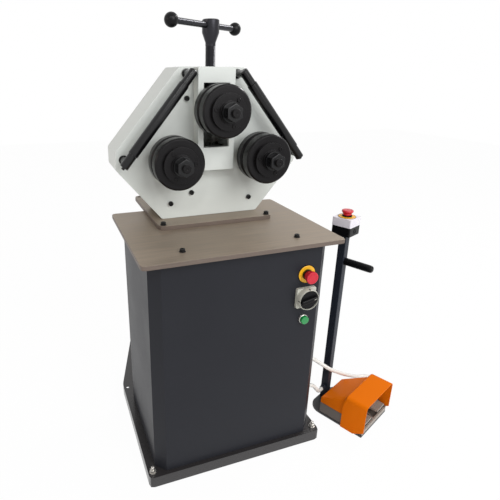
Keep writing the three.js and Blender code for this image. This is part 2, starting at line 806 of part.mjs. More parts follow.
function gearbox() {
  const frontY = headBackY + headCoverThickness + clearance;
  const half = gearboxWidth / 2;
  const body = standing(rectangle(-half, frontY, half, frontY + gearboxDepth, gearboxEdge),
    headBottomZ, headBottomZ + gearboxHeight);
  const bore = rod(pinionShaftRadius + clearance, at(0, frontY - overrun, pinionZ),
    at(0, frontY + 2 * pinionShaftReach, pinionZ));
  return cut(body, bore);
}

// Upright motor: flange, finned body and fan cowl
function motor() {
  const y = headBackY + headCoverThickness + clearance + gearboxDepth / 2;
  const low = headBottomZ + gearboxHeight;
  const bodyZ = low + motorFlangeHeight;
  const cowlZ = bodyZ + motorBodyHeight;
  const fins = [];
  for (let i = 0; i < motorFinCount * 4; i += 1) {
    const angle = (i + 0.5) * Math.PI / (motorFinCount * 2);
    const radius = i % 4 < 2 ? motorRadius : motorRadius - motorFinHeight;
    fins.push([radius * Math.cos(angle), y + radius * Math.sin(angle), 0]);
  }
  return joined(
    rod(motorFlangeRadius, at(0, y, low), at(0, y, bodyZ)),
    standing(fins, bodyZ - overrun, cowlZ + overrun),
    rod(motorCowlRadius, at(0, y, cowlZ), at(0, y, cowlZ + motorCowlHeight)));
}

// Points along the slanted guide bar beside the rolls
function guideLine(side) {
  const y = headFrontY - guideProud;
  const top = at(side * guideTopX, y, headTopZ - guideTopDrop);
  const foot = at(side * guideFootX, y, headTopZ - guideFootDrop);
  const length = top.distanceTo(foot);
  const point = (distance) => top.clone().lerp(foot, distance / length);
  return { length, point };
}

function guideBracket(side) {
  const { length, point } = guideLine(side);
  const footStart = length - guideFootLength;
  const post = (distance) => {
    const head = point(distance);
    const seat = at(head.x, headFrontY, head.z);
    const foot = at(head.x, headFrontY - guideFlangeWidth, head.z);
    return joined(rod(guidePostRadius, head, seat, smallSteps), rod(guideFlangeRadius, foot, seat, smallSteps));
  };
  return joined(
    rod(guideCapRadius, point(0), point(guideEndLength), smallSteps),
    rod(guideCapRadius, point(footStart), point(length), smallSteps),
    rod(guideAxleRadius, point(-guideScrewProud), point(length + guideScrewProud), smallSteps),
    post(guidePostInset), post(length - guidePostFootInset));
}

function guideSleeve(side) {
  const { length, point } = guideLine(side);
  const start = guideEndLength + clearance;
  const end = length - guideFootLength - clearance;
  return cut(rod(guideSleeveRadius, point(start), point(end), middleSteps),
    rod(guideAxleRadius + guideBoreGap, point(start - overrun), point(end + overrun), smallSteps));
}

// Body of a panel control in its own frame: face at zero, Z out of the panel
function controlBody(profile, bore, sheet) {
  const nutFront = -sheet - clearance;
  const nutBack = nutFront - controlNutWidth;
  const back = nutBack - controlNeckDepth;
  return turnedAlongZ([
    [bore, back], [controlNeckRadius, back], [controlNeckRadius, nutBack], [controlNutRadius, nutBack],
    [controlNutRadius, nutFront], [controlNeckRadius, nutFront], [controlNeckRadius, 0], ...profile,
    [bore, back]], 0, 0, middleSteps);
}

function estopBezel(size, sheet) {
  const top = size.ringWidth + size.collarWidth;
  const bore = estopStemRadius + clearance;
  return controlBody([[size.ring, 0], [size.ring, size.ringWidth], [size.collar, size.ringWidth],
    [size.collar, top], [bore, top]], bore, sheet);
}

function estopButton(size) {
  const low = size.ringWidth + size.collarWidth + size.travel + clearance;
  const high = low + size.capHeight;
  const edge = size.capHeight / 4;
  return turnedAlongZ([
    [0, -controlNeckDepth / 2], [estopStemRadius, -controlNeckDepth / 2], [estopStemRadius, low],
    [size.cap - edge, low], [size.cap, low + edge], [size.cap, high - 2 * edge], [size.cap - edge, high - edge],
    [size.cap / 2, high - edge / 3], [0, high]], 0, 0, middleSteps);
}

function selectorBase() {
  const half = selectorSide / 2;
  const top = selectorThickness + selectorCollarWidth;
  const round = controlBody([[selectorCollarRadius, 0], [selectorCollarRadius, top], [0, top]], 0, cabinetSheet);
  const square = standing(rectangle(-half, -half, half, half, selectorCorner), 0, selectorThickness);
  const bore = rod(estopStemRadius + clearance, at(0, 0, -controlNeckDepth * 2), at(0, 0, top + overrun), middleSteps);
  return cut(joined(round, square), bore);
}

function selectorKnob() {
  const low = selectorThickness + selectorCollarWidth + clearance;
  const high = low + selectorKnobWidth;
  const grip = low + selectorKnobWidth / 3;
  const body = turnedAlongZ([
    [0, -controlNeckDepth / 2], [estopStemRadius, -controlNeckDepth / 2], [estopStemRadius, low],
    [selectorKnobRadius, low], [selectorKnobRadius, high - selectorKnobWidth / 10],
    [selectorKnobRadius * 0.9, high], [0, high]], 0, 0, middleSteps);
  const half = selectorGripWidth / 2;
  const reach = selectorKnobRadius + overrun;
  return cut(body,
    block(half, half + selectorGripCut + overrun, -reach, reach, grip, high + overrun),
    block(-half - selectorGripCut - overrun, -half, -reach, reach, grip, high + overrun));
}

function powerLamp() {
  const top = lampBezelWidth + lampLensHeight;
  return controlBody([[lampBezelRadius, 0], [lampBezelRadius, lampBezelWidth], [lampLensRadius, lampBezelWidth],
    [lampLensRadius * 0.85, top - lampLensHeight / 4], [0, top]], 0, cabinetSheet);
}

function controlFrame(x, y, z, onFront) {
  const frame = new THREE.Group();
  frame.position.set(x, y, z);
  if (onFront) frame.rotation.x = Math.PI / 2;
  return frame;
}

// Gland with its hexagon nut, pointing along X from a wall
function gland(wallX, y, z, reach, side = 1, inside = 0) {
  const corner = glandNutRadius;
  const sides = [0, 1, 2, 3, 4, 5].map((i) => {
    const angle = (i + 0.5) * Math.PI / 3;
    return [y + corner * Math.cos(angle), z + corner * Math.sin(angle), 0];
  });
  const [left, right] = [wallX, wallX + side * glandNutWidth].sort((p, q) => p - q);
  return joined(sideways(sides, left, right),
    rod(glandRadius, at(wallX - side * inside, y, z), at(wallX + side * reach, y, z), smallSteps));
}

function cabinetGland(y, rise) {
  const wallX = cabinetWidth / 2;
  const z = baseHeight + rise;
  const innerX = wallX - cabinetSheet - clearance;
  const lock = rod(glandNutRadius, at(innerX - glandNutWidth, y, z), at(innerX, y, z), smallSteps);
  return joined(gland(wallX, y, z, glandReach, 1, cabinetSheet + glandNutWidth), lock);
}

function footPlate() {
  const left = (pedalWidth - footWidth) / 2;
  const right = left + footWidth;
  return standing([[left, 0, 0], [right, 0, 0], [right, footDepth, footRearCorner], [left, footDepth, footCorner]],
    0, footThickness);
}

// Pedal base: a low tray with side cheeks, a middle rib, the treadle axle and its gland
function pedalBase() {
  const top = pedalFloorZ + pedalHeight;
  const floor = pedalFloorZ + pedalWall;
  const lip = pedalFloorZ + pedalLip;
  const middle = pedalWidth / 2;
  const wells = [[pedalWall, middle - pedalWall / 2], [middle + pedalWall / 2, pedalWidth - pedalWall]];
  const hollows = wells.flatMap(([left, right]) => [
    block(left, right, pedalWall, pedalDepth - pedalRearWall, floor, top + overrun),
    block(left, right, -overrun, pedalWall + overrun, lip, top + overrun)]);
  const nose = block(middle - pedalWall, middle + pedalWall, -overrun, pedalWall, lip, top + overrun);
  const axleZ = pedalFloorZ + treadlePivotRise;
  const axle = rod(treadleAxleRadius, at(pedalWall / 2, treadlePivotY, axleZ),
    at(pedalWidth - pedalWall / 2, treadlePivotY, axleZ), smallSteps);
  const tray = cut(block(0, pedalWidth, 0, pedalDepth, pedalFloorZ, top), ...hollows, nose);
  return joined(tray, axle, gland(pedalWidth, pedalGlandY, pedalGlandRise, shortGlandReach, 1, overrun));
}

// Ribbed treadle on its hub
function treadle(left) {
  const right = left + treadleWidth;
  const front = pedalFloorZ + treadleFrontRise;
  const rear = pedalFloorZ + treadleRearRise;
  const pivotZ = pedalFloorZ + treadlePivotRise;
  const plate = sideways([
    [treadleFront, front - treadlePlate, 0], [treadlePivotY - treadleHubRadius, pivotZ - treadlePlate / 2, 0],
    [treadlePivotY + treadleHubRadius, pivotZ - treadlePlate / 2, 0], [treadleRear, rear - treadlePlate, 0],
    [treadleRear, rear, 0], [treadleFront, front, 0]], left, right);
  const pitch = (right - left) / treadleRibCount;
  const ribs = [];
  for (let i = 0; i < treadleRibCount; i += 1) {
    const ribLeft = left + (i + 0.25) * pitch;
    ribs.push(sideways([
      [treadleFront, front - treadleRibHeight, 0], [treadleRear, rear - treadleRibHeight, 0],
      [treadleRear, rear + treadleRibHeight, 0], [treadleFront, front + treadleRibHeight, 0]],
    ribLeft, ribLeft + pitch / 2));
  }
  const hub = rod(treadleHubRadius, at(left, treadlePivotY, pivotZ), at(right, treadlePivotY, pivotZ));
  const bore = rod(treadleAxleRadius + clearance, at(left - overrun, treadlePivotY, pivotZ),
    at(right + overrun, treadlePivotY, pivotZ), smallSteps);
  return cut(joined(plate, hub, ...ribs), bore);
}

// Folded hood over the treadles, its roof turned down along the rear edge
function guardHood() {
  const left = -hoodOverhang;
  const right = pedalWidth + hoodOverhang;
  const back = hoodDepth - hoodFront;
  const steep = hoodFoldFall / hoodFoldRun;
  const tall = rectangle(left, -hoodTop, right, hoodTop, hoodEdge);
  const roof = (spread) => [
    [-hoodFront - spread, -hoodTop, 0], [back + spread, -hoodTop, 0],
    [back + spread, hoodTop - hoodFoldFall - steep * spread, 0],
    [back - hoodFoldRun - overrun / steep, hoodTop + overrun, 0], [-hoodFront - spread, hoodTop + overrun, 0]];
  const outer = lengthwise(tall, -hoodFront - overrun, back + overrun)
    .intersect(sideways(roof(overrun), left - overrun, right + overrun));
  const room = lengthwise(inset(tall, hoodSheet), -hoodFront - 2 * overrun, back + 2 * overrun)
    .intersect(sideways(inset(roof(hoodSheet + 3 * overrun), hoodSheet), left, right));
  const side = sideways([
    [-hoodFront, hoodSkirtRise, 0], [hoodSkirtRun - hoodFront, hoodFloorGap, 0], [back, hoodFloorGap, 0],
    [back, hoodTop + overrun, 0], [-hoodFront, hoodTop + overrun, 0]], left - overrun, right + overrun);
  const spacers = [[left + hoodSheet / 2, -clearance], [pedalWidth + clearance, right - hoodSheet / 2]].map(
    ([from, to]) => rod(hoodSpacerRadius, at(from, hoodSpacerY, hoodSpacerRise),
      at(to, hoodSpacerY, hoodSpacerRise), smallSteps));
  return joined(cut(outer, room).intersect(side), ...spacers);
}

// Corners of the hipped rear guard, drawn in by a distance
function guardForm(inward, frontY, low) {
  const right = pedalWidth - inward;
  const backY = pedalDepth - inward;
  const rearZ = guardRimZ + guardRearRise - inward;
  const shoulderZ = guardRimZ + guardShoulderRise - inward;
  const ridgeZ = guardRimZ + guardRidgeRise - inward;
  const corners = [at(right - guardCrease, backY, rearZ)];
  for (const [edge, inner, cornerZ] of [[inward, 1, rearZ], [right, -1, rearZ - guardCornerDrop]]) {
    corners.push(at(edge, frontY, low), at(edge, backY, low), at(edge, backY, cornerZ));
    corners.push(at(edge, frontY, shoulderZ), at(edge + inner * guardRidgeInset, frontY, ridgeZ));
  }
  return solidOf(new ConvexGeometry(corners));
}

function guardRear() {
  const frontY = hoodDepth - hoodFront + clearance;
  const inner = guardForm(guardSheet, frontY - overrun, guardRimZ - overrun);
  const trim = block(-overrun, pedalWidth + overrun, frontY - 2 * overrun, frontY, 0, guardRimZ + 2 * guardRidgeRise);
  return cut(guardForm(0, frontY, guardRimZ), inner, trim);
}

function stationPole() {
  const half = poleSide / 2;
  const inner = half - poleWall;
  const low = footThickness;
  const tube = cut(
    standing(rectangle(poleX - half, poleY - half, poleX + half, poleY + half, poleWall), low, low + poleHeight),
    block(poleX - inner, poleX + inner, poleY - inner, poleY + inner, low - overrun, low + poleHeight + overrun));
  return joined(tube, gland(poleX - half, poleY, poleGlandRise, shortGlandReach, -1, poleWall / 2));
}

function poleGrip() {
  const backY = poleY - poleSide / 2 - clearance;
  const frontY = backY - gripLength;
  const z = footThickness + gripRise;
  return turnedAlongY([
    [0, frontY], [gripRadius - gripBead, frontY], [gripRadius, frontY + gripBead],
    [gripRadius, frontY + 2 * gripBead], [gripRadius - gripBead / 2, frontY + 3 * gripBead],
    [gripRadius - gripBead / 2, backY - gripBead], [gripRadius, backY - gripBead], [gripRadius, backY],
    [0, backY]], poleX, z, middleSteps);
}

function stationBox() {
  const half = boxSide / 2;
  const low = footThickness + poleHeight + clearance;
  const high = low + boxHeight;
  const inner = half - boxWall;
  const body = standing(rectangle(poleX - half, poleY - half, poleX + half, poleY + half, boxEdge), low, high);
  const hollow = block(poleX - inner, poleX + inner, poleY - inner, poleY + inner, low + boxWall, high - boxWall);
  const knockout = rod(knockoutRadius, at(poleX, poleY - half - overrun, low + boxHeight / 4),
    at(poleX, poleY - half + knockoutDepth, low + boxHeight / 4), smallSteps);
  const holeRadius = controlNeckRadius + clearance;
  const hole = rod(holeRadius, at(poleX, poleY, high - boxWall - overrun), at(poleX, poleY, high + overrun));
  const wireRadius = poleSide / 2 - poleWall - clearance;
  const wires = rod(wireRadius, at(poleX, poleY, low - overrun), at(poleX, poleY, low + boxWall + overrun), smallSteps);
  return cut(body, hollow, knockout, hole, wires);
}

// Ribbed hose along a curve: two rings to a rib outside, an open bore inside
function conduit(points) {
  const curve = new THREE.CatmullRomCurve3(points.map(([x, y, z]) => at(x, y, z)), false, 'centripetal');
  const ribs = Math.round(curve.getLength() / ribPitch);
  const rings = 2 * ribs + 1;
  curve.arcLengthDivisions = rings * ribSideCount;
  curve.updateArcLengths();
  const frames = curve.computeFrenetFrames(rings - 1, false);
  const corners = [];
  const ring = (step, radius) => {
    const centre = curve.getPointAt(step / (rings - 1));
    for (let side = 0; side < ribSideCount; side += 1) {
      const angle = 2 * Math.PI * side / ribSideCount;
      const corner = centre.clone();
      corner.addScaledVector(frames.normals[step], radius * Math.cos(angle));
      corner.addScaledVector(frames.binormals[step], radius * Math.sin(angle));
      corners.push(corner.x, corner.y, corner.z);
    }
    return corners.length / 3 - ribSideCount;
  };
  const outer = [];
  for (let step = 0; step < rings; step += 1) {
    outer.push(ring(step, step % 2 ? conduitRadius : conduitRadius - ribDepth));
  }
  const bore = [];
  for (let step = 0; step < rings - 1; step += 2 * boreRibCount) bore.push(ring(step, conduitBore));
  bore.push(ring(rings - 1, conduitBore));
  const faces = [];
  const strip = (from, to) => {
    for (let side = 0; side < ribSideCount; side += 1) {
      const next = (side + 1) % ribSideCount;
      faces.push(from + side, to + side, to + next, from + side, to + next, from + next);
    }
  };
  const loop = [...outer, ...bore.reverse(), outer[0]];
  for (let i = 0; i + 1 < loop.length; i += 1) strip(loop[i], loop[i + 1]);
  const geometry = new THREE.BufferGeometry();
  geometry.setAttribute('position', new THREE.Float32BufferAttribute(corners, 3));
  geometry.setIndex(faces);
  return solidOf(geometry);
}

// Route from the upper gland, in front of the pole and round behind the hood
const upperRoute = [
  [275.3, -103, 231], [288.5, -103, 231], [304, -103, 227.5], [322, -103, 215.5], [342, -102.5, 198.5],
  [363, -99, 180.5], [388, -90, 157.5], [415.4, -78.3, 134.6], [447.6, -67.1, 111], [477.6, -55.8, 88.5],
  [508, -45.5, 68], [542.7, -34.8, 46.5], [580.5, -26.1, 27], [599.3, -19.2, 18.5], [621.8, -15.7, 11],
  [643.4, -23.5, 7.5], [658.6, -41.4, 6.9], [662.4, -64.4, 6.9], [654.1, -86.2, 6.9], [636, -100.9, 6.9],
  [619.7, -104.9, 8.5], [600, -101.4, 13.5], [581.3, -98.6, 20.5], [566, -101.3, 26],
  [562.3, -102.7, 27], [549.8, -108.3, 27]];

// Route from the lower gland to the pole
const lowerRoute = [
  [275.3, -118, 134], [288.5, -118, 134], [302.5, -116, 129.5], [315.5, -111.5, 120], [327, -105, 108],
  [336.5, -98.5, 95.5], [345.5, -92, 83.5], [354, -85.8, 72.5], [362, -80, 63], [370, -74.5, 55.5],
  [378.8, -69.6, 52], [390.6, -64.2, 52]];

place('base_plate', basePlate(), greyPaint);
place('cabinet_shell', cabinetShell(), greyPaint);
place('cabinet_rear_panel', cabinetRearPanel(), greyPaint);
place('top_plate', topPlate(), groundSteel);
place('head_base_plate', headBasePlate(), groundSteel);
place('head_casing', headCasing(), lightPaint);
place('head_back_cover', headBackCover(), lightPaint);
place('slide_cover', slideCover(), lightPaint);
place('screw_nut', screwNut(), plainSteel);
place('bearing_lower_left', bearing(-lowerRollX), plainSteel);
place('bearing_lower_right', bearing(lowerRollX), plainSteel);
place('gearbox', gearbox(), greyPaint);
place('motor', motor(), greyPaint);
place('carriage', carriage(), plainSteel);
place('adjusting_screw', adjustingScrew(), blackSteel);
place('tommy_bar', rod(barRadius, barPoint(-barLeftReach), barPoint(barRightReach), smallSteps), blackSteel);
place('tommy_knob_left', tommyKnob(-barLeftReach), blackPlastic);
place('tommy_knob_right', tommyKnob(barRightReach), blackPlastic);

const lowerShoulderY = headFrontY - bearingFlangeWidth - clearance;
const gearBackY = gearFrontY + gearWidth;
const rolls = [
  ['top', 0, topRollZ, 50, carriageFrontY - clearance, carriageBackY - 2 * clearance, carriageBackY - clearance],
  ['lower_left', -lowerRollX, lowerRollZ, 5, lowerShoulderY, gearFrontY - clearance, gearBackY + clearance],
  ['lower_right', lowerRollX, lowerRollZ, 50, lowerShoulderY, gearFrontY - clearance, gearBackY + clearance]];
for (const [name, x, z, firstAngle, shoulderBackY, journalBackY, tailBackY] of rolls) {
  place(`${name}_spindle`, spindle(x, z, shoulderBackY, journalBackY, tailBackY), plainSteel);
  place(`${name}_rear_disc`, rearDisc(x, z), blackSteel);
  place(`${name}_front_disc`, frontDisc(x, z), blackSteel);
  place(`${name}_flange_disc`, flangeDisc(x, z, firstAngle), blackSteel);
  place(`${name}_nut`, rollNut(x, z), plainSteel);
}

const phases = gearPhases();
place('drive_gear_left', rollGear(-lowerRollX, phases.left), plainSteel);
place('drive_gear_right', rollGear(lowerRollX, phases.right), plainSteel);
place('drive_pinion', drivePinion(), plainSteel);

for (const [name, side] of [['left', -1], ['right', 1]]) {
  place(`guide_bracket_${name}`, guideBracket(side), blackSteel);
  place(`guide_sleeve_${name}`, guideSleeve(side), blackSteel);
}

const estopFrame = controlFrame(controlX, cabinetFrontY, baseHeight + estopRise, true);
const selectorFrame = controlFrame(controlX, cabinetFrontY, baseHeight + selectorRise, true);
const lampFrame = controlFrame(controlX, cabinetFrontY, baseHeight + lampRise, true);
machine.add(estopFrame, selectorFrame, lampFrame);
place('estop_bezel', estopBezel(cabinetEstop, cabinetSheet), yellowPlastic, estopFrame);
place('estop_button', estopButton(cabinetEstop), redPlastic, estopFrame);
place('selector_base', selectorBase(), greyPlastic, selectorFrame);
place('selector_knob', selectorKnob(), blackPlastic, selectorFrame);
place('power_lamp', powerLamp(), greenGlass, lampFrame);

place('foot_plate', footPlate(), castGrey, station);
place('pedal_base', pedalBase(), castGrey, station);
place('treadle_left', treadle(treadleInset), treadleGrey, station);
place('treadle_right', treadle(pedalWidth - treadleInset - treadleWidth), treadleGrey, station);
place('guard_rear', guardRear(), orangePaint, station);
place('guard_hood', guardHood(), orangePaint, station);
place('station_pole', stationPole(), greyPaint, station);
place('pole_grip', poleGrip(), blackPlastic, station);
place('station_box', stationBox(), greyPlastic, station);
const stationBoxTopZ = footThickness + poleHeight + clearance + boxHeight;
const stationEstopFrame = controlFrame(poleX, poleY, stationBoxTopZ, false);
station.add(stationEstopFrame);
place('station_estop_bezel', estopBezel(stationEstop, boxWall), yellowPlastic, stationEstopFrame);
place('station_estop_button', estopButton(stationEstop), redPlastic, stationEstopFrame);

place('cabinet_gland_upper', cabinetGland(upperGlandY, upperGlandRise), plainSteel);
place('cabinet_gland_lower', cabinetGland(lowerGlandY, lowerGlandRise), plainSteel);
place('conduit_upper', conduit(upperRoute), conduitGrey);
place('conduit_lower', conduit(lowerRoute), conduitGrey);

export default machine;
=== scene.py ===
import json
import math

import bmesh
import bpy
from mathutils import Matrix, Vector


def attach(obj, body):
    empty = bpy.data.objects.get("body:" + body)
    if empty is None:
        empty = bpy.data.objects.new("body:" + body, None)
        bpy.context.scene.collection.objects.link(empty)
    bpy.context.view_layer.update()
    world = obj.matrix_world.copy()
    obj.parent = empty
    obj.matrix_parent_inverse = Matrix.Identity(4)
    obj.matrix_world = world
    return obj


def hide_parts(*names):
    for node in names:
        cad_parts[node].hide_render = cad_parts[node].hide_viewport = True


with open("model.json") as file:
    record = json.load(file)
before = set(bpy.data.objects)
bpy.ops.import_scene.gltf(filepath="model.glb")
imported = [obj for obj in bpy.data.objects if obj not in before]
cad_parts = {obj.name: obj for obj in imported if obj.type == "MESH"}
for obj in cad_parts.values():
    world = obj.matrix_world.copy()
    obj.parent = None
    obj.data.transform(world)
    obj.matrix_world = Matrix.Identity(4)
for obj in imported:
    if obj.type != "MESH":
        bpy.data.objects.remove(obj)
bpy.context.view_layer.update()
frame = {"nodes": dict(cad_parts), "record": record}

mm = 0.001
mergeGap = 0.002 * mm
fitGap = 0.3  # room between pieces that fit into each other, in millimetres
headFace = 62  # where the head's front lies, in millimetres behind the middle
flatAngle = 1  # faces that meet at less than this are one face, in degrees
turnedAngle = 25  # edges of turned pieces that are sharper than this are softened, in degrees
bodyOfNode = {node: body for body, nodes in frame["record"]["behaviour"]["bodies"].items() for node in nodes}
front = Vector((0, -1, 0))
up = Vector((0, 0, 1))
right = Vector((1, 0, 0))
sides = {"left": -1, "right": 1}


def addObject(name, data):
    item = bpy.data.objects.new(name, data)
    bpy.context.scene.collection.objects.link(item)
    return item


# camera, at the photograph's place
camera = {"place": (-456.35, -1129.59, 1108.84), "turn": 0.342, "down": 0.355, "roll": 0.004,
          "lens": 31.386, "sensor": 36, "shift": (0.0993, -0.0251), "farClip": 50}


def makeCamera():
    data = bpy.data.cameras.new("camera")
    data.sensor_width = camera["sensor"]
    data.lens = camera["lens"]
    data.shift_x, data.shift_y = camera["shift"]
    data.clip_end = camera["farClip"]
    turn, down, roll = camera["turn"], camera["down"], camera["roll"]
    ahead = Vector((math.sin(turn) * math.cos(down), math.cos(turn) * math.cos(down), -math.sin(down)))
    side = Vector((math.cos(turn), -math.sin(turn), 0))
    top = side.cross(ahead)
    leanSide = side * math.cos(roll) + top * math.sin(roll)
    leanTop = top * math.cos(roll) - side * math.sin(roll)
    pose = Matrix((leanSide, leanTop, -ahead)).transposed().to_4x4()
    item = addObject("camera", data)
    item.matrix_world = Matrix.Translation(Vector(camera["place"]) * mm) @ pose
    bpy.context.scene.camera = item


makeCamera()
print("camera placed")


# materials: a colour is written from 0 to 255 and made linear here
def tone(red, green, blue):
    shares = [value / 255 for value in (red, green, blue)]
    linear = [share / 12.92 if share <= 0.04045 else ((share + 0.055) / 1.055) ** 2.4 for share in shares]
    return (*linear, 1)


def newGroup(name, details, roughness):
    group = bpy.data.node_groups.new(name, "ShaderNodeTree")
    inputs = [("Color", "NodeSocketColor", (0.5, 0.5, 0.5, 1)), *details,
              ("Roughness", "NodeSocketFloat", roughness)]
    for label, kind, value in inputs:
        group.interface.new_socket(label, in_out="INPUT", socket_type=kind).default_value = value
    for label, kind in (("Color", "NodeSocketColor"), ("Roughness", "NodeSocketFloat"),
                        ("Height", "NodeSocketFloat")):
        group.interface.new_socket(label, in_out="OUTPUT", socket_type=kind)
    return group, group.nodes.new("NodeGroupInput"), group.nodes.new("NodeGroupOutput")


def noiseNode(tree, coordinates, scale, detail=3):
    noise = tree.nodes.new("ShaderNodeTexNoise")
    noise.inputs["Detail"].default_value = detail
    tree.links.new(coordinates, noise.inputs["Vector"])
    if isinstance(scale, (int, float)):
        noise.inputs["Scale"].default_value = scale
    else:
        tree.links.new(scale, noise.inputs["Scale"])
    return noise


def mathNode(tree, operation, first, second):
    node = tree.nodes.new("ShaderNodeMath")
    node.operation = operation
    for socket, value in zip(node.inputs, (first, second)):
        if isinstance(value, (int, float)):
            socket.default_value = value
        else:
            tree.links.new(value, socket)
    return node.outputs["Value"]


# two masks in one, the first with the given share
def blendedMasks(tree, first, second, share):
    return mathNode(tree, "ADD", mathNode(tree, "MULTIPLY", first, share),
                    mathNode(tree, "MULTIPLY", second, 1 - share))


# how far a mask swings about its middle
def maskSwing(tree, mask, strength):
    return mathNode(tree, "MULTIPLY", mathNode(tree, "SUBTRACT", mask, 0.5), strength)


# what each group puts out: the shaded colour, the roughness and a height for the bump
def groupResults(group, source, result, colorSwing, roughSwing, height):
    shade = mathNode(group, "ADD", mathNode(group, "MULTIPLY", colorSwing, 2), 1)
    mix = group.nodes.new("ShaderNodeMix")
    mix.data_type = "RGBA"
    mix.blend_type = "MULTIPLY"
    mix.inputs["Factor"].default_value = 1
    group.links.new(source.outputs["Color"], mix.inputs["A"])
    group.links.new(shade, mix.inputs["B"])
    group.links.new(mix.outputs["Result"], result.inputs["Color"])
    rough = mathNode(group, "ADD", source.outputs["Roughness"], roughSwing)
    group.links.new(rough, result.inputs["Roughness"])
    group.links.new(height, result.inputs["Height"])
    return group


# paint and plastic: fine grain in the coat, slow change of shade over the surface
coatTexture = {"cloudScale": 7, "grainDetail": 2, "cloudShare": 0.7, "roughSwing": 0.15}


def coatGroup():
    group, source, result = newGroup(
        "coatTexture", [("Variation", "NodeSocketFloat", 0.1), ("Grain Scale", "NodeSocketFloat", 900)], 0.4)
    place = group.nodes.new("ShaderNodeTexCoord").outputs["Object"]
    cloud = noiseNode(group, place, coatTexture["cloudScale"]).outputs["Fac"]
    grain = noiseNode(group, place, source.outputs["Grain Scale"], coatTexture["grainDetail"]).outputs["Fac"]
    mask = blendedMasks(group, cloud, grain, coatTexture["cloudShare"])
    swing = maskSwing(group, mask, source.outputs["Variation"])
    roughSwing = maskSwing(group, cloud, coatTexture["roughSwing"])
    return groupResults(group, source, result, swing, roughSwing, grain)


# ground plate: long scratches along one direction
groundGrain = {"lineDetail": 5, "cloudScale": 5, "lineShare": 0.75}


def grainGroup():
    group, source, result = newGroup(
        "groundGrain", [("Stretch", "NodeSocketVector", (1, 1, 1)), ("Strength", "NodeSocketFloat", 0.3)],
        0.35)
    place = group.nodes.new("ShaderNodeTexCoord").outputs["Object"]
    stretched = group.nodes.new("ShaderNodeVectorMath")
    stretched.operation = "MULTIPLY"
    group.links.new(place, stretched.inputs[0])
    group.links.new(source.outputs["Stretch"], stretched.inputs[1])
    lines = noiseNode(group, stretched.outputs["Vector"], 1, groundGrain["lineDetail"]).outputs["Fac"]
    cloud = noiseNode(group, place, groundGrain["cloudScale"]).outputs["Fac"]
    mask = blendedMasks(group, lines, cloud, groundGrain["lineShare"])
    swing = maskSwing(group, mask, source.outputs["Strength"])
    return groupResults(group, source, result, swing, swing, lines)


# lathe work: fine rings that follow the piece's own profile
turnedRings = {"ringDetail": 4, "cloudScale": 25, "ringShare": 0.6}


def turnedGroup():
    group, source, result = newGroup(
        "turnedRings", [("Ring Scale", "NodeSocketFloat", 1500), ("Strength", "NodeSocketFloat", 0.2)], 0.35)
    place = group.nodes.new("ShaderNodeAttribute")
    place.attribute_name = "turnPlace"
    noise = group.nodes.new("ShaderNodeTexNoise")
    noise.noise_dimensions = "1D"
    noise.inputs["Detail"].default_value = turnedRings["ringDetail"]
    group.links.new(place.outputs["Fac"], noise.inputs["W"])
    group.links.new(source.outputs["Ring Scale"], noise.inputs["Scale"])
    rings = noise.outputs["Fac"]
    spot = group.nodes.new("ShaderNodeTexCoord").outputs["Object"]
    cloud = noiseNode(group, spot, turnedRings["cloudScale"]).outputs["Fac"]
    mask = blendedMasks(group, rings, cloud, turnedRings["ringShare"])
    swing = maskSwing(group, mask, source.outputs["Strength"])
    return groupResults(group, source, result, swing, swing, rings)


surfaceGroups = {"coat": coatGroup(), "grain": grainGroup(), "turned": turnedGroup()}
groupSockets = {"variation": "Variation", "grainScale": "Grain Scale", "ringScale": "Ring Scale",
                "stretch": "Stretch", "strength": "Strength", "roughness": "Roughness"}


# depth of the bump in millimetres, extras by the shader's own labels
def makeMaterial(name, kind, color, metallic=0, specular=0.5, bump=0.1, depth=0.1, extras=None, **values):
    material = bpy.data.materials.new(name)
    material.use_nodes = True
    tree = material.node_tree
    shader = tree.nodes["Principled BSDF"]
    shader.inputs["Metallic"].default_value = metallic
    shader.inputs["Specular IOR Level"].default_value = specular
    for label, value in (extras or {}).items():
        shader.inputs[label].default_value = value
    surface = tree.nodes.new("ShaderNodeGroup")
    surface.node_tree = surfaceGroups[kind]
    surface.inputs["Color"].default_value = color
    for key, value in values.items():
        surface.inputs[groupSockets[key]].default_value = value
    relief = tree.nodes.new("ShaderNodeBump")
    relief.inputs["Strength"].default_value = bump
    relief.inputs["Distance"].default_value = depth * mm
    tree.links.new(surface.outputs["Height"], relief.inputs["Height"])
    tree.links.new(surface.outputs["Color"], shader.inputs["Base Color"])
    tree.links.new(surface.outputs["Roughness"], shader.inputs["Roughness"])
    tree.links.new(relief.outputs["Normal"], shader.inputs["Normal"])
    material.diffuse_color = color
    return material


cabinetPaint = makeMaterial("cabinetPaint", "coat", tone(35, 36, 41), specular=0.15, bump=0.35, depth=0.15,
                            variation=0.12, grainScale=1400, roughness=0.42)
polePaint = makeMaterial("polePaint", "coat", tone(38, 42, 51), specular=0.15, bump=0.2,
                         variation=0.1, grainScale=1400, roughness=0.36)
headPaint = makeMaterial("headPaint", "coat", tone(202, 206, 202), bump=0.15,
                         variation=0.04, grainScale=700, roughness=0.38)
groundSteel = makeMaterial("groundSteel", "grain", tone(140, 127, 112), metallic=0.4, bump=0.25,
                           stretch=(7, 200, 200), strength=0.65, roughness=0.46)
plateEdgeSteel = makeMaterial("plateEdgeSteel", "grain", tone(102, 90, 82), metallic=0.3, bump=0.3,
                              depth=0.15, stretch=(12, 12, 700), strength=0.5, roughness=0.5)
blackTurned = makeMaterial("blackTurned", "turned", tone(26, 25, 26), metallic=0.45, specular=0.2, bump=0.2,
                           depth=0.08, ringScale=900, strength=0.35, roughness=0.28)
blackGloss = makeMaterial("blackGloss", "coat", tone(11, 11, 13), metallic=0.1, specular=0.38, bump=0.08,
                          variation=0.15, grainScale=500, roughness=0.25)
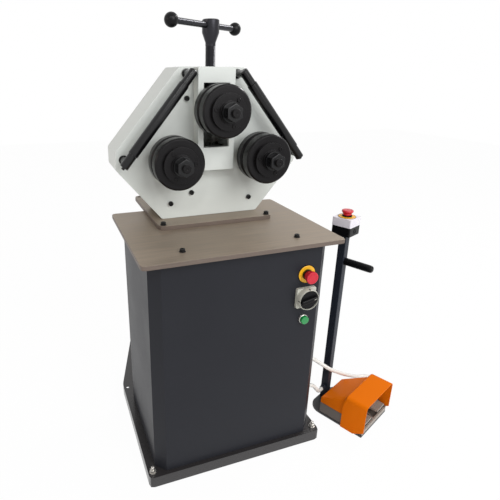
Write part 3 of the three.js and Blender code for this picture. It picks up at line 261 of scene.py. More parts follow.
polishedBlack = makeMaterial("polishedBlack", "coat", tone(50, 50, 54), metallic=0.9,
                             variation=0.15, grainScale=500, roughness=0.28)
basePaint = makeMaterial("basePaint", "coat", tone(42, 40, 41), specular=0.4, bump=0.2, depth=0.12,
                         extras={"Coat Weight": 0.2}, variation=0.1, grainScale=1100, roughness=0.26)
blackScrew = makeMaterial("blackScrew", "coat", tone(20, 20, 21), specular=0.2, bump=0.15,
                          variation=0.2, grainScale=700, roughness=0.45)
brightSteel = makeMaterial("brightSteel", "coat", tone(196, 193, 188), metallic=0.9,
                           variation=0.12, grainScale=300, roughness=0.28)
redPlastic = makeMaterial("redPlastic", "coat", tone(188, 22, 44), bump=0.05, depth=0.05,
                          variation=0.05, grainScale=600, roughness=0.3)
yellowPlastic = makeMaterial("yellowPlastic", "coat", tone(228, 170, 22), bump=0.05, depth=0.05,
                             variation=0.05, grainScale=600, roughness=0.4)
blackPlastic = makeMaterial("blackPlastic", "coat", tone(13, 13, 15), specular=0.16, bump=0.15,
                            variation=0.15, grainScale=900, roughness=0.32)
greyPlastic = makeMaterial("greyPlastic", "coat", tone(178, 178, 168), bump=0.15,
                           variation=0.05, grainScale=900, roughness=0.5)
coverPlastic = makeMaterial("coverPlastic", "coat", tone(216, 212, 220),
                            variation=0.04, grainScale=900, roughness=0.42)
greenLens = makeMaterial("greenLens", "coat", tone(0, 128, 60), bump=0.05, depth=0.05,
                         extras={"Coat Weight": 0.6}, variation=0.1, grainScale=300, roughness=0.15)
orangePaint = makeMaterial("orangePaint", "coat", tone(218, 108, 12), specular=0.03, bump=0.12,
                           extras={"Specular Tint": tone(255, 190, 120)},
                           variation=0.06, grainScale=500, roughness=0.4)
castGrey = makeMaterial("castGrey", "coat", tone(92, 84, 78), bump=0.5, depth=0.25,
                        variation=0.12, grainScale=600, roughness=0.5)
floorPlate = makeMaterial("floorPlate", "coat", tone(44, 44, 46), bump=0.4, depth=0.2,
                          variation=0.12, grainScale=800, roughness=0.45)
treadleGrey = makeMaterial("treadleGrey", "coat", tone(150, 141, 132), bump=0.3, depth=0.2,
                           variation=0.08, grainScale=700, roughness=0.5)
conduitGrey = makeMaterial("conduitGrey", "coat", tone(222, 220, 215),
                           variation=0.06, grainScale=400, roughness=0.42)
print("materials made")


# shared shaping, in millimetres and degrees
def bevelEdges(bm, edges, width, steps, clamp=False):
    bmesh.ops.bevel(bm, geom=edges, offset=width * mm, affect="EDGES", segments=steps, profile=0.5,
                    material=-1, clamp_overlap=clamp)


def soften(bm, width, sharpness=35, steps=2):
    limit = math.radians(sharpness)
    edges = [edge for edge in bm.edges if edge.is_manifold and edge.calc_face_angle(0) > limit]
    bevelEdges(bm, edges, width, steps, clamp=True)


# how far an edge reaches along x, y or z
def reach(edge, axis):
    first, second = (getattr(vert.co, axis) for vert in edge.verts)
    return abs(first - second)


def cutThrough(bm, place, normal, clearInner=False):
    bmesh.ops.bisect_plane(bm, geom=bm.verts[:] + bm.edges[:] + bm.faces[:],
                           plane_co=[value * mm for value in place], plane_no=normal, clear_inner=clearInner)


def nodeCopy(node, width=0):
    bm = bmesh.new()
    bm.from_mesh(frame["nodes"][node].data)
    bmesh.ops.remove_doubles(bm, verts=bm.verts, dist=mergeGap)
    bmesh.ops.dissolve_limit(bm, angle_limit=math.radians(flatAngle), verts=bm.verts, edges=bm.edges)
    if width:
        soften(bm, width)
    return bm


def carried(bm, matrix):
    bmesh.ops.transform(bm, matrix=matrix, verts=bm.verts)
    return bm


def turnAt(origin, degrees, axis):
    return Matrix.Translation(Vector(origin) * mm) @ Matrix.Rotation(math.radians(degrees), 4, axis)


def stand(bm, origin, along=up):
    turn = up.rotation_difference(Vector(along)).to_matrix().to_4x4()
    return carried(bm, Matrix.Translation(Vector(origin) * mm) @ turn)


# profile from the bore out over steps of (radius, end height), closed where there is a bore
def stepped(bore, low, *steps):
    profile = [(bore, low)]
    for radius, end in steps:
        profile += [(radius, profile[-1][1]), (radius, end)]
    profile.append((bore, steps[-1][1]))
    return profile + profile[:1] if bore else profile


# profile of (radius, height), turned about an axis through origin
def turned(profile, origin, along=up, steps=72, width=0.4):
    bm = bmesh.new()
    points = [bm.verts.new((radius * mm, 0, height * mm)) for radius, height in profile]
    lines = [bm.edges.new(pair) for pair in zip(points, points[1:])]
    bmesh.ops.spin(bm, geom=points + lines, cent=(0, 0, 0), axis=(0, 0, 1), angle=math.tau, steps=steps,
                   use_merge=True)
    bmesh.ops.remove_doubles(bm, verts=bm.verts, dist=mergeGap)
    bmesh.ops.recalc_face_normals(bm, faces=bm.faces)
    if width:
        soften(bm, width, turnedAngle)
    place = bm.verts.layers.float.new("turnPlace")
    for vert in bm.verts:
        vert[place] = math.hypot(vert.co.x, vert.co.y) + vert.co.z
    return stand(bm, origin, along)


def joinInto(bm, *others):
    for other in others:
        mesh = bpy.data.meshes.new("part")
        other.to_mesh(mesh)
        other.free()
        bm.from_mesh(mesh)
        bpy.data.meshes.remove(mesh)
    return bm


def blockShape(low, high, width=0, steps=2):
    bm = bmesh.new()
    bmesh.ops.create_cube(bm, size=1)
    size = [(b - a) * mm for a, b in zip(low, high)]
    middle = [(a + b) / 2 * mm for a, b in zip(low, high)]
    bmesh.ops.scale(bm, vec=size, verts=bm.verts)
    bmesh.ops.translate(bm, vec=middle, verts=bm.verts)
    if width:
        soften(bm, width, steps=steps)
    return bm


def hexagonShape(flats, low, high, chamfer=1.2):
    bm = bmesh.new()
    corner = flats / math.sqrt(3) * mm
    bmesh.ops.create_cone(bm, cap_ends=True, segments=6, radius1=corner, radius2=corner,
                          depth=(high - low) * mm)
    bmesh.ops.translate(bm, vec=(0, 0, (low + high) / 2 * mm), verts=bm.verts)
    bevelEdges(bm, [edge for edge in bm.edges if reach(edge, "z") < mm], chamfer, 2)
    return bm


def addPiece(name, bm, material, nodes=(), body=None, smooth=30):
    mesh = bpy.data.meshes.new(name)
    bm.to_mesh(mesh)
    bm.free()
    mesh.shade_smooth()
    mesh.set_sharp_from_angle(angle=math.radians(smooth))
    mesh.materials.append(material)
    piece = addObject(name, mesh)
    evenShade = piece.modifiers.new("evenShade", "WEIGHTED_NORMAL")  # broad faces stay flat beside soft edges
    evenShade.keep_sharp = True
    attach(piece, body or bodyOfNode[nodes[0]])
    if nodes:
        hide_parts(*nodes)
    return piece


# a CAD node's own shape with its edges rounded
def roundedPiece(name, node, width, material):
    return addPiece(name, nodeCopy(node, width), material, [node])


def paintNode(node, material):
    mesh = frame["nodes"][node].data
    mesh.materials.clear()
    mesh.materials.append(material)


# conduits first: same route points as the CAD, in metres
upperRoute = [
    (0.2753, -0.103, 0.231), (0.2885, -0.103, 0.231), (0.304, -0.103, 0.2275), (0.322, -0.103, 0.2155),
    (0.342, -0.1025, 0.1985), (0.363, -0.099, 0.1805), (0.388, -0.09, 0.1575), (0.4154, -0.0783, 0.1346),
    (0.4476, -0.0671, 0.111), (0.4776, -0.0558, 0.0885), (0.508, -0.0455, 0.068), (0.5427, -0.0348, 0.0465),
    (0.5805, -0.0261, 0.027), (0.5993, -0.0192, 0.0185), (0.6218, -0.0157, 0.011), (0.6434, -0.0235, 0.0075),
    (0.6586, -0.0414, 0.0069), (0.6624, -0.0644, 0.0069), (0.6541, -0.0862, 0.0069), (0.636, -0.1009, 0.0069),
    (0.6197, -0.1049, 0.0085), (0.6, -0.1014, 0.0135), (0.5813, -0.0986, 0.0205), (0.566, -0.1013, 0.026),
    (0.5623, -0.1027, 0.027), (0.5498, -0.1083, 0.027)]
lowerRoute = [
    (0.2753, -0.118, 0.134), (0.2885, -0.118, 0.134), (0.3025, -0.116, 0.1295), (0.3155, -0.1115, 0.12),
    (0.327, -0.105, 0.108), (0.3365, -0.0985, 0.0955), (0.3455, -0.092, 0.0835), (0.354, -0.0858, 0.0725),
    (0.362, -0.08, 0.063), (0.37, -0.0745, 0.0555), (0.3788, -0.0696, 0.052), (0.3906, -0.0642, 0.052)]
# dips are shares of the groove's depth, over one pitch
conduit = {"radius": 6.5, "groove": 0.9, "pitch": 4, "dips": (0, 0.35, 1, 0.35), "sides": 20, "fineSteps": 40}


# smooth line through the route, with even steps
def smoothLine(route, step):
    points = [Vector(point) for point in route]
    points = [points[0] * 2 - points[1], *points, points[-1] * 2 - points[-2]]
    fine = []
    for a, b, c, d in zip(points, points[1:], points[2:], points[3:]):
        knots = [0]
        for first, second in ((a, b), (b, c), (c, d)):
            knots.append(knots[-1] + (second - first).length ** 0.5)
        t0, t1, t2, t3 = knots
        for i in range(conduit["fineSteps"]):
            t = t1 + (t2 - t1) * i / conduit["fineSteps"]
            ab = a.lerp(b, (t - t0) / (t1 - t0))
            bc = b.lerp(c, (t - t1) / (t2 - t1))
            cd = c.lerp(d, (t - t2) / (t3 - t2))
            early = ab.lerp(bc, (t - t0) / (t2 - t0))
            late = bc.lerp(cd, (t - t1) / (t3 - t1))
            fine.append(early.lerp(late, (t - t1) / (t2 - t1)))
    fine.append(points[-2])
    lengths = [0]
    for first, second in zip(fine, fine[1:]):
        lengths.append(lengths[-1] + (second - first).length)
    count = max(2, round(lengths[-1] / step))
    line, j = [], 0
    for i in range(count + 1):
        target = lengths[-1] * i / count
        while j < len(fine) - 2 and lengths[j + 1] < target:
            j += 1
        share = (target - lengths[j]) / max(lengths[j + 1] - lengths[j], 1e-9)  # never divided by nothing
        line.append(fine[j].lerp(fine[j + 1], min(max(share, 0), 1)))
    return line, lengths[-1]


def conduitPiece(name, route, node):
    dips = conduit["dips"]
    line, length = smoothLine(route, conduit["pitch"] * mm / len(dips))
    bm = bmesh.new()
    rings = []
    side = up
    for i, point in enumerate(line):
        ahead = (line[min(i + 1, len(line) - 1)] - line[max(i - 1, 0)]).normalized()
        side = (side - ahead * side.dot(ahead)).normalized()
        other = ahead.cross(side)
        radius = (conduit["radius"] - dips[i % len(dips)] * conduit["groove"]) * mm
        ring = []
        for j in range(conduit["sides"]):
            angle = math.tau * j / conduit["sides"]
            across, along = radius * math.cos(angle), radius * math.sin(angle)
            ring.append(bm.verts.new(point + side * across + other * along))
        rings.append(ring)
    loops = [[bm.edges.new((ring[j], ring[(j + 1) % len(ring)])) for j in range(len(ring))] for ring in rings]
    for first, second in zip(loops, loops[1:]):
        bmesh.ops.bridge_loops(bm, edges=first + second)
    for loop in (loops[0], loops[-1]):
        bmesh.ops.contextual_create(bm, geom=loop)
    bmesh.ops.recalc_face_normals(bm, faces=bm.faces)
    piece = addPiece(name, bm, conduitGrey, [node], smooth=60)
    return length


upperLength = conduitPiece("upperConduit", upperRoute, "conduit_upper")
lowerLength = conduitPiece("lowerConduit", lowerRoute, "conduit_lower")
print("conduits laid, lengths in metres", round(upperLength, 3), round(lowerLength, 3))


# base, cabinet and plates: node, width of the rounded edges, finish
baseParts = {"basePlate": ("base_plate", 2, basePaint), "cabinetShell": ("cabinet_shell", 0.8, cabinetPaint),
             "cabinetRearPanel": ("cabinet_rear_panel", 0.8, cabinetPaint)}
groundPlates = {"topPlate": ("top_plate", 1, groundSteel),
                "headBasePlate": ("head_base_plate", 1, groundSteel)}
levelNormal = 0.8  # a plate's face counts as its ground top from here on
for name, row in baseParts.items():
    roundedPiece(name, *row)
for name, row in groundPlates.items():
    plate = roundedPiece(name, *row)
    plate.data.materials.append(plateEdgeSteel)
    for face in plate.data.polygons:
        face.material_index = 0 if face.normal.z > levelNormal else 1

anchor = {"across": 266, "front": -194, "washer": 10, "washerHeight": 1.5, "nutFlats": 15, "nutHeight": 8,
          "stud": 4.5, "studHeight": 19, "studChamfer": 1, "top": 36}
plateScrews = {
    "plateBolt": {"across": 162.5, "y": -172, "top": 700, "radius": 6.8, "height": 8, "socket": 3,
                  "washer": 8.5, "washerHeight": 1.6},
    "plateScrew": {"across": 162.5, "y": 9, "top": 712, "radius": 7.2, "height": 9, "socket": 3.4,
                   "washer": 8.6, "washerHeight": 1.6}}
# chamfer as a share of the screw's radius, taper of its socket's, floor of its height
capShape = {"chamfer": 0.12, "socketTaper": 0.98, "socketFloor": 0.45, "steps": 40}


def anchorBolt(side):
    origin = (side * anchor["across"], anchor["front"], anchor["top"])
    low, radius, end, chamfer = (anchor[key] for key in ("washerHeight", "stud", "studHeight", "studChamfer"))
    washer = turned(stepped(0, 0, (anchor["washer"], low)), origin)
    nut = stand(hexagonShape(anchor["nutFlats"], low, low + anchor["nutHeight"]), origin)
    stud = turned([(0, 0), (radius, 0), (radius, end - chamfer), (radius - chamfer, end), (0, end)], origin,
                  width=0)
    return joinInto(washer, nut, stud)


# cap screw with its socket
def capScrew(origin, along, row):
    radius, height, socket = row["radius"], row["height"], row["socket"]
    chamfer, floor = radius * capShape["chamfer"], height * capShape["socketFloor"]
    profile = [(0, 0), (radius, 0), (radius, height - chamfer), (radius - chamfer, height), (socket, height),
               (socket * capShape["socketTaper"], floor), (0, floor)]
    return turned(profile, origin, along, capShape["steps"], 0)


for word, side in sides.items():
    addPiece(f"anchorBolt_{word}", anchorBolt(side), brightSteel, body="root")
    for name, row in plateScrews.items():
        origin = (side * row["across"], row["y"], row["top"])
        washer = turned(stepped(0, 0, (row["washer"], row["washerHeight"])), origin)
        addPiece(f"{name}_{word}", joinInto(capScrew(origin, up, row), washer), blackScrew, body="root")
print("base and cabinet dressed")


# head
headParts = {"headCasing": ("head_casing", 2, headPaint), "headBackCover": ("head_back_cover", 2, headPaint),
             "slideCover": ("slide_cover", 1.5, headPaint)}
faceScrew = {"places": [(-74, 1051), (74, 1051), (-61, 786), (-125, 757.5), (125, 757.5)], "radius": 7,
             "height": 7, "socket": 3.2}
for name, row in headParts.items():
    roundedPiece(name, *row)
for i, (x, z) in enumerate(faceScrew["places"]):
    addPiece(f"faceScrew_{i}", capScrew((x, headFace, z), front, faceScrew), blackScrew, body="root")
for node in ("screw_nut", "bearing_lower_left", "bearing_lower_right", "carriage", "drive_gear_left",
             "drive_gear_right", "drive_pinion", "cabinet_gland_upper", "cabinet_gland_lower"):
    paintNode(node, brightSteel)
for node in ("gearbox", "motor"):
    paintNode(node, cabinetPaint)
print("head dressed")


# rolls, measured forwards from the head's face
roll = {"radius": 68.6, "rimChamfer": 4, "bore": 15.3, "rear": (43, 75), "boss": 56, "grooveEnd": 84,
        "frontEnd": 119, "flange": 47.5, "flangeEnd": 131, "collar": 28.5, "collarEnd": 137, "nutCollar": 26,
        "nutCollarEnd": 145, "nutFlats": 41, "nutEnd": 168, "nutSink": 0.5, "nutShort": 0.4, "nutChamfer": 2,
        "thread": 12, "stub": 11, "stubEnd": 177, "stubChamfer": 1, "centreHole": 3, "shoulder": 26,
        "shaft": 15, "journal": 20, "screwCircle": 38, "discSteps": 96, "discEdge": 0.8, "shaftSteps": 64,
        "shaftEdge": 0.3, "nutEdge": 0.5}
flangeScrew = {"radius": 5.6, "height": 2.5, "socket": 3.4}
# place across and up, angle of the first screw, ends of the spindle's shoulder, journal and tail
rollPlaces = {"top": (0, 1022, 50, (24.3, -77.4, -77.7)), "lower_left": (-129, 892, 5, (4, -85.7, -114.3)),
              "lower_right": (129, 892, 50, (4, -85.7, -114.3))}


def rollRim(low, high):
    radius, chamfer = roll["radius"], roll["rimChamfer"]
    return [(radius - chamfer, low), (radius, low + chamfer), (radius, high - chamfer),
            (radius - chamfer, high)]


def rollPieces(name, x, z, firstAngle, ends):
    origin = (x, headFace, z)
    bore, boss, thread = roll["bore"], roll["boss"], roll["thread"]

    def onRoll(profile, edge="discEdge", steps="discSteps"):
        return turned(profile, origin, front, roll[steps], roll[edge])

    low, high = roll["rear"]
    rear = [(bore, low), *rollRim(low, high), (bore, high), (bore, low)]
    addPiece(f"{name}RearDisc", onRoll(rear), blackTurned, [f"{name}_rear_disc"])
    low, step, high = high + fitGap, roll["grooveEnd"], roll["frontEnd"]
    disc = [(bore, low), (boss, low), (boss, step), *rollRim(step, high), (bore, high), (bore, low)]
    addPiece(f"{name}FrontDisc", onRoll(disc), blackTurned, [f"{name}_front_disc"])
    low, high, seat = high + fitGap, roll["flangeEnd"], roll["collarEnd"]
    flange = onRoll(stepped(bore, low, (roll["flange"], high), (roll["collar"], seat)))
    for i in range(3):
        angle = math.radians(firstAngle + 120 * i)
        place = (x + roll["screwCircle"] * math.cos(angle), headFace - high,
                 z + roll["screwCircle"] * math.sin(angle))
        joinInto(flange, capScrew(place, front, flangeScrew))
    addPiece(f"{name}Flange", flange, blackTurned, [f"{name}_flange_disc"])
    low, step, high = seat + fitGap, roll["nutCollarEnd"], roll["nutEnd"]
    nut = onRoll(stepped(thread + fitGap, low, (roll["nutCollar"], step)), "nutEdge", "shaftSteps")
    hexagon = hexagonShape(roll["nutFlats"], step - roll["nutSink"], high - roll["nutShort"],
                           roll["nutChamfer"])
    addPiece(f"{name}Nut", joinInto(nut, stand(hexagon, origin, front)), blackGloss, [f"{name}_nut"])
    shoulderStart, journalEnd, tailEnd = ends
    shaft, stub, tip, chamfer, hole = (
        roll[key] for key in ("shaft", "stub", "stubEnd", "stubChamfer", "centreHole"))
    spindle = stepped(0, tailEnd, (shaft, journalEnd), (roll["journal"], shoulderStart),
                      (roll["shoulder"], roll["rear"][0] - fitGap), (shaft, seat - fitGap), (thread, high),
                      (stub, tip - chamfer))
    spindle[-1:] = [(stub - chamfer, tip), (hole, tip), (0, tip - hole)]
    addPiece(f"{name}Spindle", onRoll(spindle, "shaftEdge", "shaftSteps"), blackTurned, [f"{name}_spindle"])


for name, row in rollPlaces.items():
    rollPieces(name, *row)
print("rolls dressed")


# side guide bars
guide = {"y": 10, "top": (68, 1122.7), "foot": (265.3, 881.3), "end": 45, "footEnd": 40, "cap": 12,
         "capChamfer": 3, "sleeve": 14, "post": 10, "flange": 13, "flangeWidth": 5, "postTop": 10.5,
         "postFoot": 14.4, "pin": 4.5, "pinProud": 6, "bore": 6.9, "steps": 48, "edge": 0.8, "sleeveEdge": 1}


def guidePieces(side, word):
    top, foot = (Vector((side * guide[key][0], guide["y"], guide[key][1])) for key in ("top", "foot"))
    along = (foot - top).normalized()
    length = (foot - top).length
    cap, chamfer, steps, edge = guide["cap"], guide["capChamfer"], guide["steps"], guide["edge"]
    low = length - guide["footEnd"]
    upper = [(0, 0), (cap - chamfer, 0), (cap, chamfer), (cap, guide["end"]), (0, guide["end"])]
    lower = stepped(0, low, (cap, length), (guide["pin"], length + guide["pinProud"]))
    bracket = [turned(profile, top, along, steps, edge) for profile in (upper, lower)]
    post = stepped(0, 0, (guide["flange"], guide["flangeWidth"]), (guide["post"], headFace - guide["y"]))
    for distance in (guide["postTop"], length - guide["postFoot"]):
        place = top + along * distance
        bracket.append(turned(post, (place.x, headFace, place.z), front, steps, edge))
    addPiece(f"guideBracket_{word}", joinInto(*bracket), blackGloss, [f"guide_bracket_{word}"])
    sleeve = stepped(guide["bore"], guide["end"] + fitGap, (guide["sleeve"], low - fitGap))
    addPiece(f"guideSleeve_{word}", turned(sleeve, top, along, steps, guide["sleeveEdge"]), blackGloss,
             [f"guide_sleeve_{word}"])


for word, side in sides.items():
    guidePieces(side, word)


# top screw, tommy bar and knobs
screw = {"y": 77, "tip": 1052.3, "radius": 14, "head": 18, "headTop": 1058.3, "cone": 1193, "hub": 1217,
         "hubRadius": 23.2, "hubChamfer": 2.5, "top": 1250, "threadPitch": 3, "threadDepth": 0.9,
         "threadStart": 1134, "threadEnd": 1186, "steps": 72}
bar = {"z": 1235, "angle": 33.3, "radius": 7.8, "left": -161, "right": 118, "steps": 40, "edge": 0.5}
ballKnob = {"radius": 17.5, "rings": 24, "steps": 56}


def screwPiece():
    radius, hub, top, pitch = screw["radius"], screw["hubRadius"], screw["top"], screw["threadPitch"]
    profile = [(0, screw["tip"]), (screw["head"], screw["tip"]), (screw["head"], screw["headTop"]),
               (radius, screw["headTop"]), (radius, screw["threadStart"])]
    height = screw["threadStart"]
    while height + pitch <= screw["threadEnd"]:
        height += pitch
        profile += [(radius - screw["threadDepth"], height - pitch / 2), (radius, height)]
    profile += [(radius, screw["cone"]), (hub, screw["hub"]), (hub, top - screw["hubChamfer"]),
                (hub - screw["hubChamfer"], top), (0, top)]
    return turned(profile, (0, screw["y"], 0), up, screw["steps"], 0)


def knobPiece(place, towards):
    radius, neck, rings = ballKnob["radius"], bar["radius"] + fitGap, ballKnob["rings"]
    start = -math.sqrt(radius ** 2 - neck ** 2)
    lowAngle = math.asin(start / radius)
    angles = [lowAngle + (math.pi / 2 - lowAngle) * i / rings for i in range(1, rings)]
    ball = [(radius * math.cos(angle), radius * math.sin(angle)) for angle in angles]
    return turned([(0, fitGap), (neck, fitGap), (neck, start), *ball, (0, radius)], place, towards,
                  ballKnob["steps"], 0)


addPiece("adjustingScrew", screwPiece(), polishedBlack, ["adjusting_screw"])
barAlong = Vector((math.cos(math.radians(bar["angle"])), math.sin(math.radians(bar["angle"])), 0))
barMiddle = Vector((0, screw["y"], bar["z"]))
barProfile = stepped(0, bar["left"], (bar["radius"], bar["right"]))
addPiece("tommyBar", turned(barProfile, barMiddle, barAlong, bar["steps"], bar["edge"]), polishedBlack,
         ["tommy_bar"])
for word, side in sides.items():
    towards = barAlong * side
    knob = knobPiece(barMiddle + towards * abs(bar[word]), towards)
    addPiece(f"tommyKnob_{word}", knob, blackPlastic, [f"tommy_knob_{word}"], smooth=45)
print("guides and screw dressed")


# controls on the cabinet
control = {"x": 184, "face": -203, "neck": 11, "sheet": 3.3, "nut": 15, "nutWidth": 6, "depth": 20, "stem": 6,
           "steps": 40, "edge": 0.4}
# press cap: a flared head over a skirt that slides into the collar's cup
# steps out from skirt and radius with the height over the flare, then shares of edge and radius with the drop
mushroom = {"stemEnd": -10, "edge": 2.2, "flare": 0.42, "under": ((0, -2), (1.5, 0.5)),
            "lip": ((-0.6, 2.5), (0, 3.5)), "round": ((0.4, 0.7), (1, 0.2)),
            "groove": ((0.76, 0), (0.75, 0.5), (0.7, 0.5), (0.69, 0)), "steps": 72}
# the thin black ring just outside each yellow ring is painted shade, standing for the shadow gap round the
# ring
stopShape = {"ringChamfer": (1, 0.6), "collarGap": 0.05, "cupFloor": 0.4, "shadeRingUnder": 0.5,
             "shadeRingLow": 0.02, "shadeRingTop": 0.7, "steps": 72, "collarSteps": 64, "collarEdge": 0.15}


def mushroomPiece(row, origin, along):
    low, top, radius, skirt, stem = row["skirtLow"], row["top"], row["cap"], row["skirt"], control["stem"]
    edge, flare = mushroom["edge"], low + (top - low) * mushroom["flare"]
    profile = [(0, mushroom["stemEnd"]), (stem, mushroom["stemEnd"]), (stem, low), (skirt, low)]
    profile += [(skirt + out, flare + rise) for out, rise in mushroom["under"]]
    profile += [(radius + out, flare + rise) for out, rise in mushroom["lip"]]
    profile.append((radius, top - edge))
    profile += [(radius - edge * share, top - drop) for share, drop in mushroom["round"]]
    profile += [(radius * share, top - drop) for share, drop in mushroom["groove"]]
    profile.append((0, top))
    return turned(profile, origin, along, mushroom["steps"], 0)


def neckAndNut(origin, along):
    sheet, nutBack = -control["sheet"], -control["sheet"] - control["nutWidth"]
    neck = control["neck"]
    profile = stepped(control["stem"] + fitGap, 0, (neck, sheet), (control["nut"], nutBack),
                      (neck, nutBack - control["depth"]))
    return turned(profile, origin, along, control["steps"], control["edge"])


def estopPieces(prefix, node, origin, along, row):
    ring, width, collar = row["ring"], row["ringWidth"], row["collar"]
    inward, down = stopShape["ringChamfer"]
    gap, steps = stopShape["collarGap"], stopShape["steps"]
    bezel = [(collar, 0), (ring, 0), (ring, width - down), (ring - inward, width), (collar, width),
             (collar, 0)]
    addPiece(f"{prefix}Ring", turned(bezel, origin, along, steps, 0), yellowPlastic, [f"{node}_bezel"])
    body = turned(stepped(control["stem"] + fitGap, gap, (collar - gap, row["collarTop"]),
                          (row["cup"], stopShape["cupFloor"])),
                  origin, along, stopShape["collarSteps"], stopShape["collarEdge"])
    addPiece(f"{prefix}Collar", joinInto(body, neckAndNut(origin, along)), blackPlastic,
             body=bodyOfNode[f"{node}_bezel"])
    # black ring of painted shade behind the yellow ring, for the shadow gap round it
    paintedShadeRing = stepped(ring - stopShape["shadeRingUnder"], stopShape["shadeRingLow"],
                     (row["paintedShadeRing"], stopShape["shadeRingTop"]))
    addPiece(f"{prefix}PaintedShadeRing", turned(paintedShadeRing, origin, along, steps, 0), blackPlastic,
             body=bodyOfNode[f"{node}_bezel"])
    addPiece(f"{prefix}Mushroom", mushroomPiece(row, origin, along), redPlastic, [f"{node}_button"])


# each row also gives the outer radius of the black ring of painted shade round the yellow ring
panelStop = {"z": 600, "ring": 25.3, "ringWidth": 2, "paintedShadeRing": 27.3, "collar": 15, "cup": 13.3,
             "collarTop": 10, "skirtLow": 9, "skirt": 12.8, "cap": 17.6, "top": 31}
stationStop = {"ring": 26, "ringWidth": 1.4, "paintedShadeRing": 27.6, "collar": 15.4, "cup": 14, "collarTop": 4.8,
               "skirtLow": 6.9, "skirt": 13.6, "cap": 17.8, "top": 21.5}
station = {"origin": (414.1, -260.9, 0), "yaw": 24.2, "pole": (86, 189), "boxTop": 697}
stationTurn = turnAt(station["origin"], station["yaw"], "Z")
stationStopPlace = (stationTurn @ (Vector((*station["pole"], station["boxTop"])) * mm)) / mm
estopPieces("estop", "estop", (control["x"], control["face"], panelStop["z"]), front, panelStop)
estopPieces("stationEstop", "station_estop", stationStopPlace, up, stationStop)

selector = {"z": 531, "half": 30.2, "thickness": 9, "corner": 5, "cornerSteps": 6, "rim": 2, "rimSteps": 3,
            "collar": 31.5, "collarSink": 1, "collarTop": 25.5, "collarSlope": 6, "dial": 28.6, "lip": 1,
            "floor": 15, "edge": 0.7, "steps": 72, "tilt": 12}
selectorGrip = {"knob": 28, "knobTop": 22.5, "knobEdge": 1, "top": 31, "half": 6, "inset": 3, "sink": 2,
                "edge": 3, "edgeSteps": 3, "mark": 1.4, "markProud": 0.15, "markSink": 1, "markInset": 4}
selectorTick = {"angles": (90, 180), "from": 29.8, "to": 31.8, "low": 1, "high": 7, "half": 1.4}


def selectorPieces():
    x, y, z = origin = (control["x"], control["face"], selector["z"])
    half, depth = selector["half"], selector["thickness"]
    plate = blockShape((x - half, y - depth, z - half), (x + half, y, z + half))
    uprights = [edge for edge in plate.edges if reach(edge, "y") > mm]
    bevelEdges(plate, uprights, selector["corner"], selector["cornerSteps"])
    rim = [edge for edge in plate.edges if all(vert.co.y < (y - depth + 1) * mm for vert in edge.verts)]
    bevelEdges(plate, rim, selector["rim"], selector["rimSteps"])
    start, collar, dial = depth - selector["collarSink"], selector["collar"], selector["dial"]
    top, floor = selector["collarTop"], selector["floor"]
    profile = [(0, start), (collar, start), (collar, top - selector["collarSlope"]),
               (dial + selector["lip"], top), (dial, top), (dial, floor), (0, floor)]
    joinInto(plate, turned(profile, origin, front, selector["steps"], selector["edge"]))
    addPiece("selectorBase", plate, greyPlastic, ["selector_base"])
    row = selectorGrip
    profile = stepped(0, floor + fitGap, (row["knob"], row["knobTop"]))
    knob = turned(profile, origin, front, selector["steps"], row["knobEdge"])
    end = row["knob"] - row["inset"]
    handle = blockShape((-end, -row["top"], -row["half"]), (end, -row["knobTop"] + row["sink"], row["half"]),
                        row["edge"], row["edgeSteps"])
    spot = blockShape((end / 2, -row["top"] - row["markProud"], -row["mark"] / 2),
                      (end - row["markInset"], -row["top"] + row["markSink"], row["mark"] / 2))
    turn = turnAt(origin, -selector["tilt"], "Y")
    addPiece("selectorKnob", joinInto(knob, carried(handle, turn)), blackPlastic, ["selector_knob"])
    addPiece("selectorMark", carried(spot, turn), greyPlastic, body="selector")
    row = selectorTick
    for i, angle in enumerate(row["angles"]):
        tick = blockShape((row["from"], -top + row["low"], -row["half"]),
                          (row["to"], -top + row["high"], row["half"]))
        addPiece(f"selectorTick_{i}", carried(tick, turnAt(origin, -angle, "Y")), blackPlastic, body="root")


selectorPieces()

# the lens is rounded by steps in from its radius and down from its top
lamp = {"z": 461, "bezel": 14, "bezelTop": 6, "bezelChamfer": (1.2, 1), "edge": 0.3, "lens": 12.2,
        "lensLow": 0.1, "lensTop": 15, "lensRound": ((0, 2), (0.6, 0.8), (2, 0.2)), "lensFlat": 0.5,
        "steps": 64}


def lampPieces():
    origin = (control["x"], control["face"], lamp["z"])
    bezel, rise, radius, top = lamp["bezel"], lamp["bezelTop"], lamp["lens"], lamp["lensTop"]
    inward, down = lamp["bezelChamfer"]
    ring = turned([(radius, 0), (bezel, 0), (bezel, rise - down), (bezel - inward, rise), (radius, rise),
                   (radius, 0)], origin, front, lamp["steps"], lamp["edge"])
    addPiece("lampBezel", joinInto(ring, neckAndNut(origin, front)), brightSteel, ["power_lamp"])
    profile = [(0, lamp["lensLow"]), (radius, lamp["lensLow"])]
    profile += [(radius - inset, top - drop) for inset, drop in lamp["lensRound"]]
    profile += [(radius * lamp["lensFlat"], top), (0, top)]
    lens = turned(profile, origin, front, lamp["steps"], 0)
    addPiece("lampLens", lens, greenLens, body="root")


lampPieces()
print("controls dressed")


# pedal station
footPlate = {"left": -2, "right": 174, "depth": 204, "thickness": 8, "leftCorner": 46, "rightCorner": 64,
             "cornerSteps": 12, "edge": 1, "sharpness": 50}
# the cheeks step down in front of the treadles' hinge, the front lip is lighter, in the treadles' grey
pedalTray = {"cut": 62, "rise": 25, "lip": 14, "edge": 0.5}
stationParts = {"treadleLeft": ("treadle_left", 0.4, treadleGrey),
                "treadleRight": ("treadle_right", 0.4, treadleGrey),
                "guardRear": ("guard_rear", 1.5, orangePaint),
                "stationPole": ("station_pole", 1.2, polePaint)}


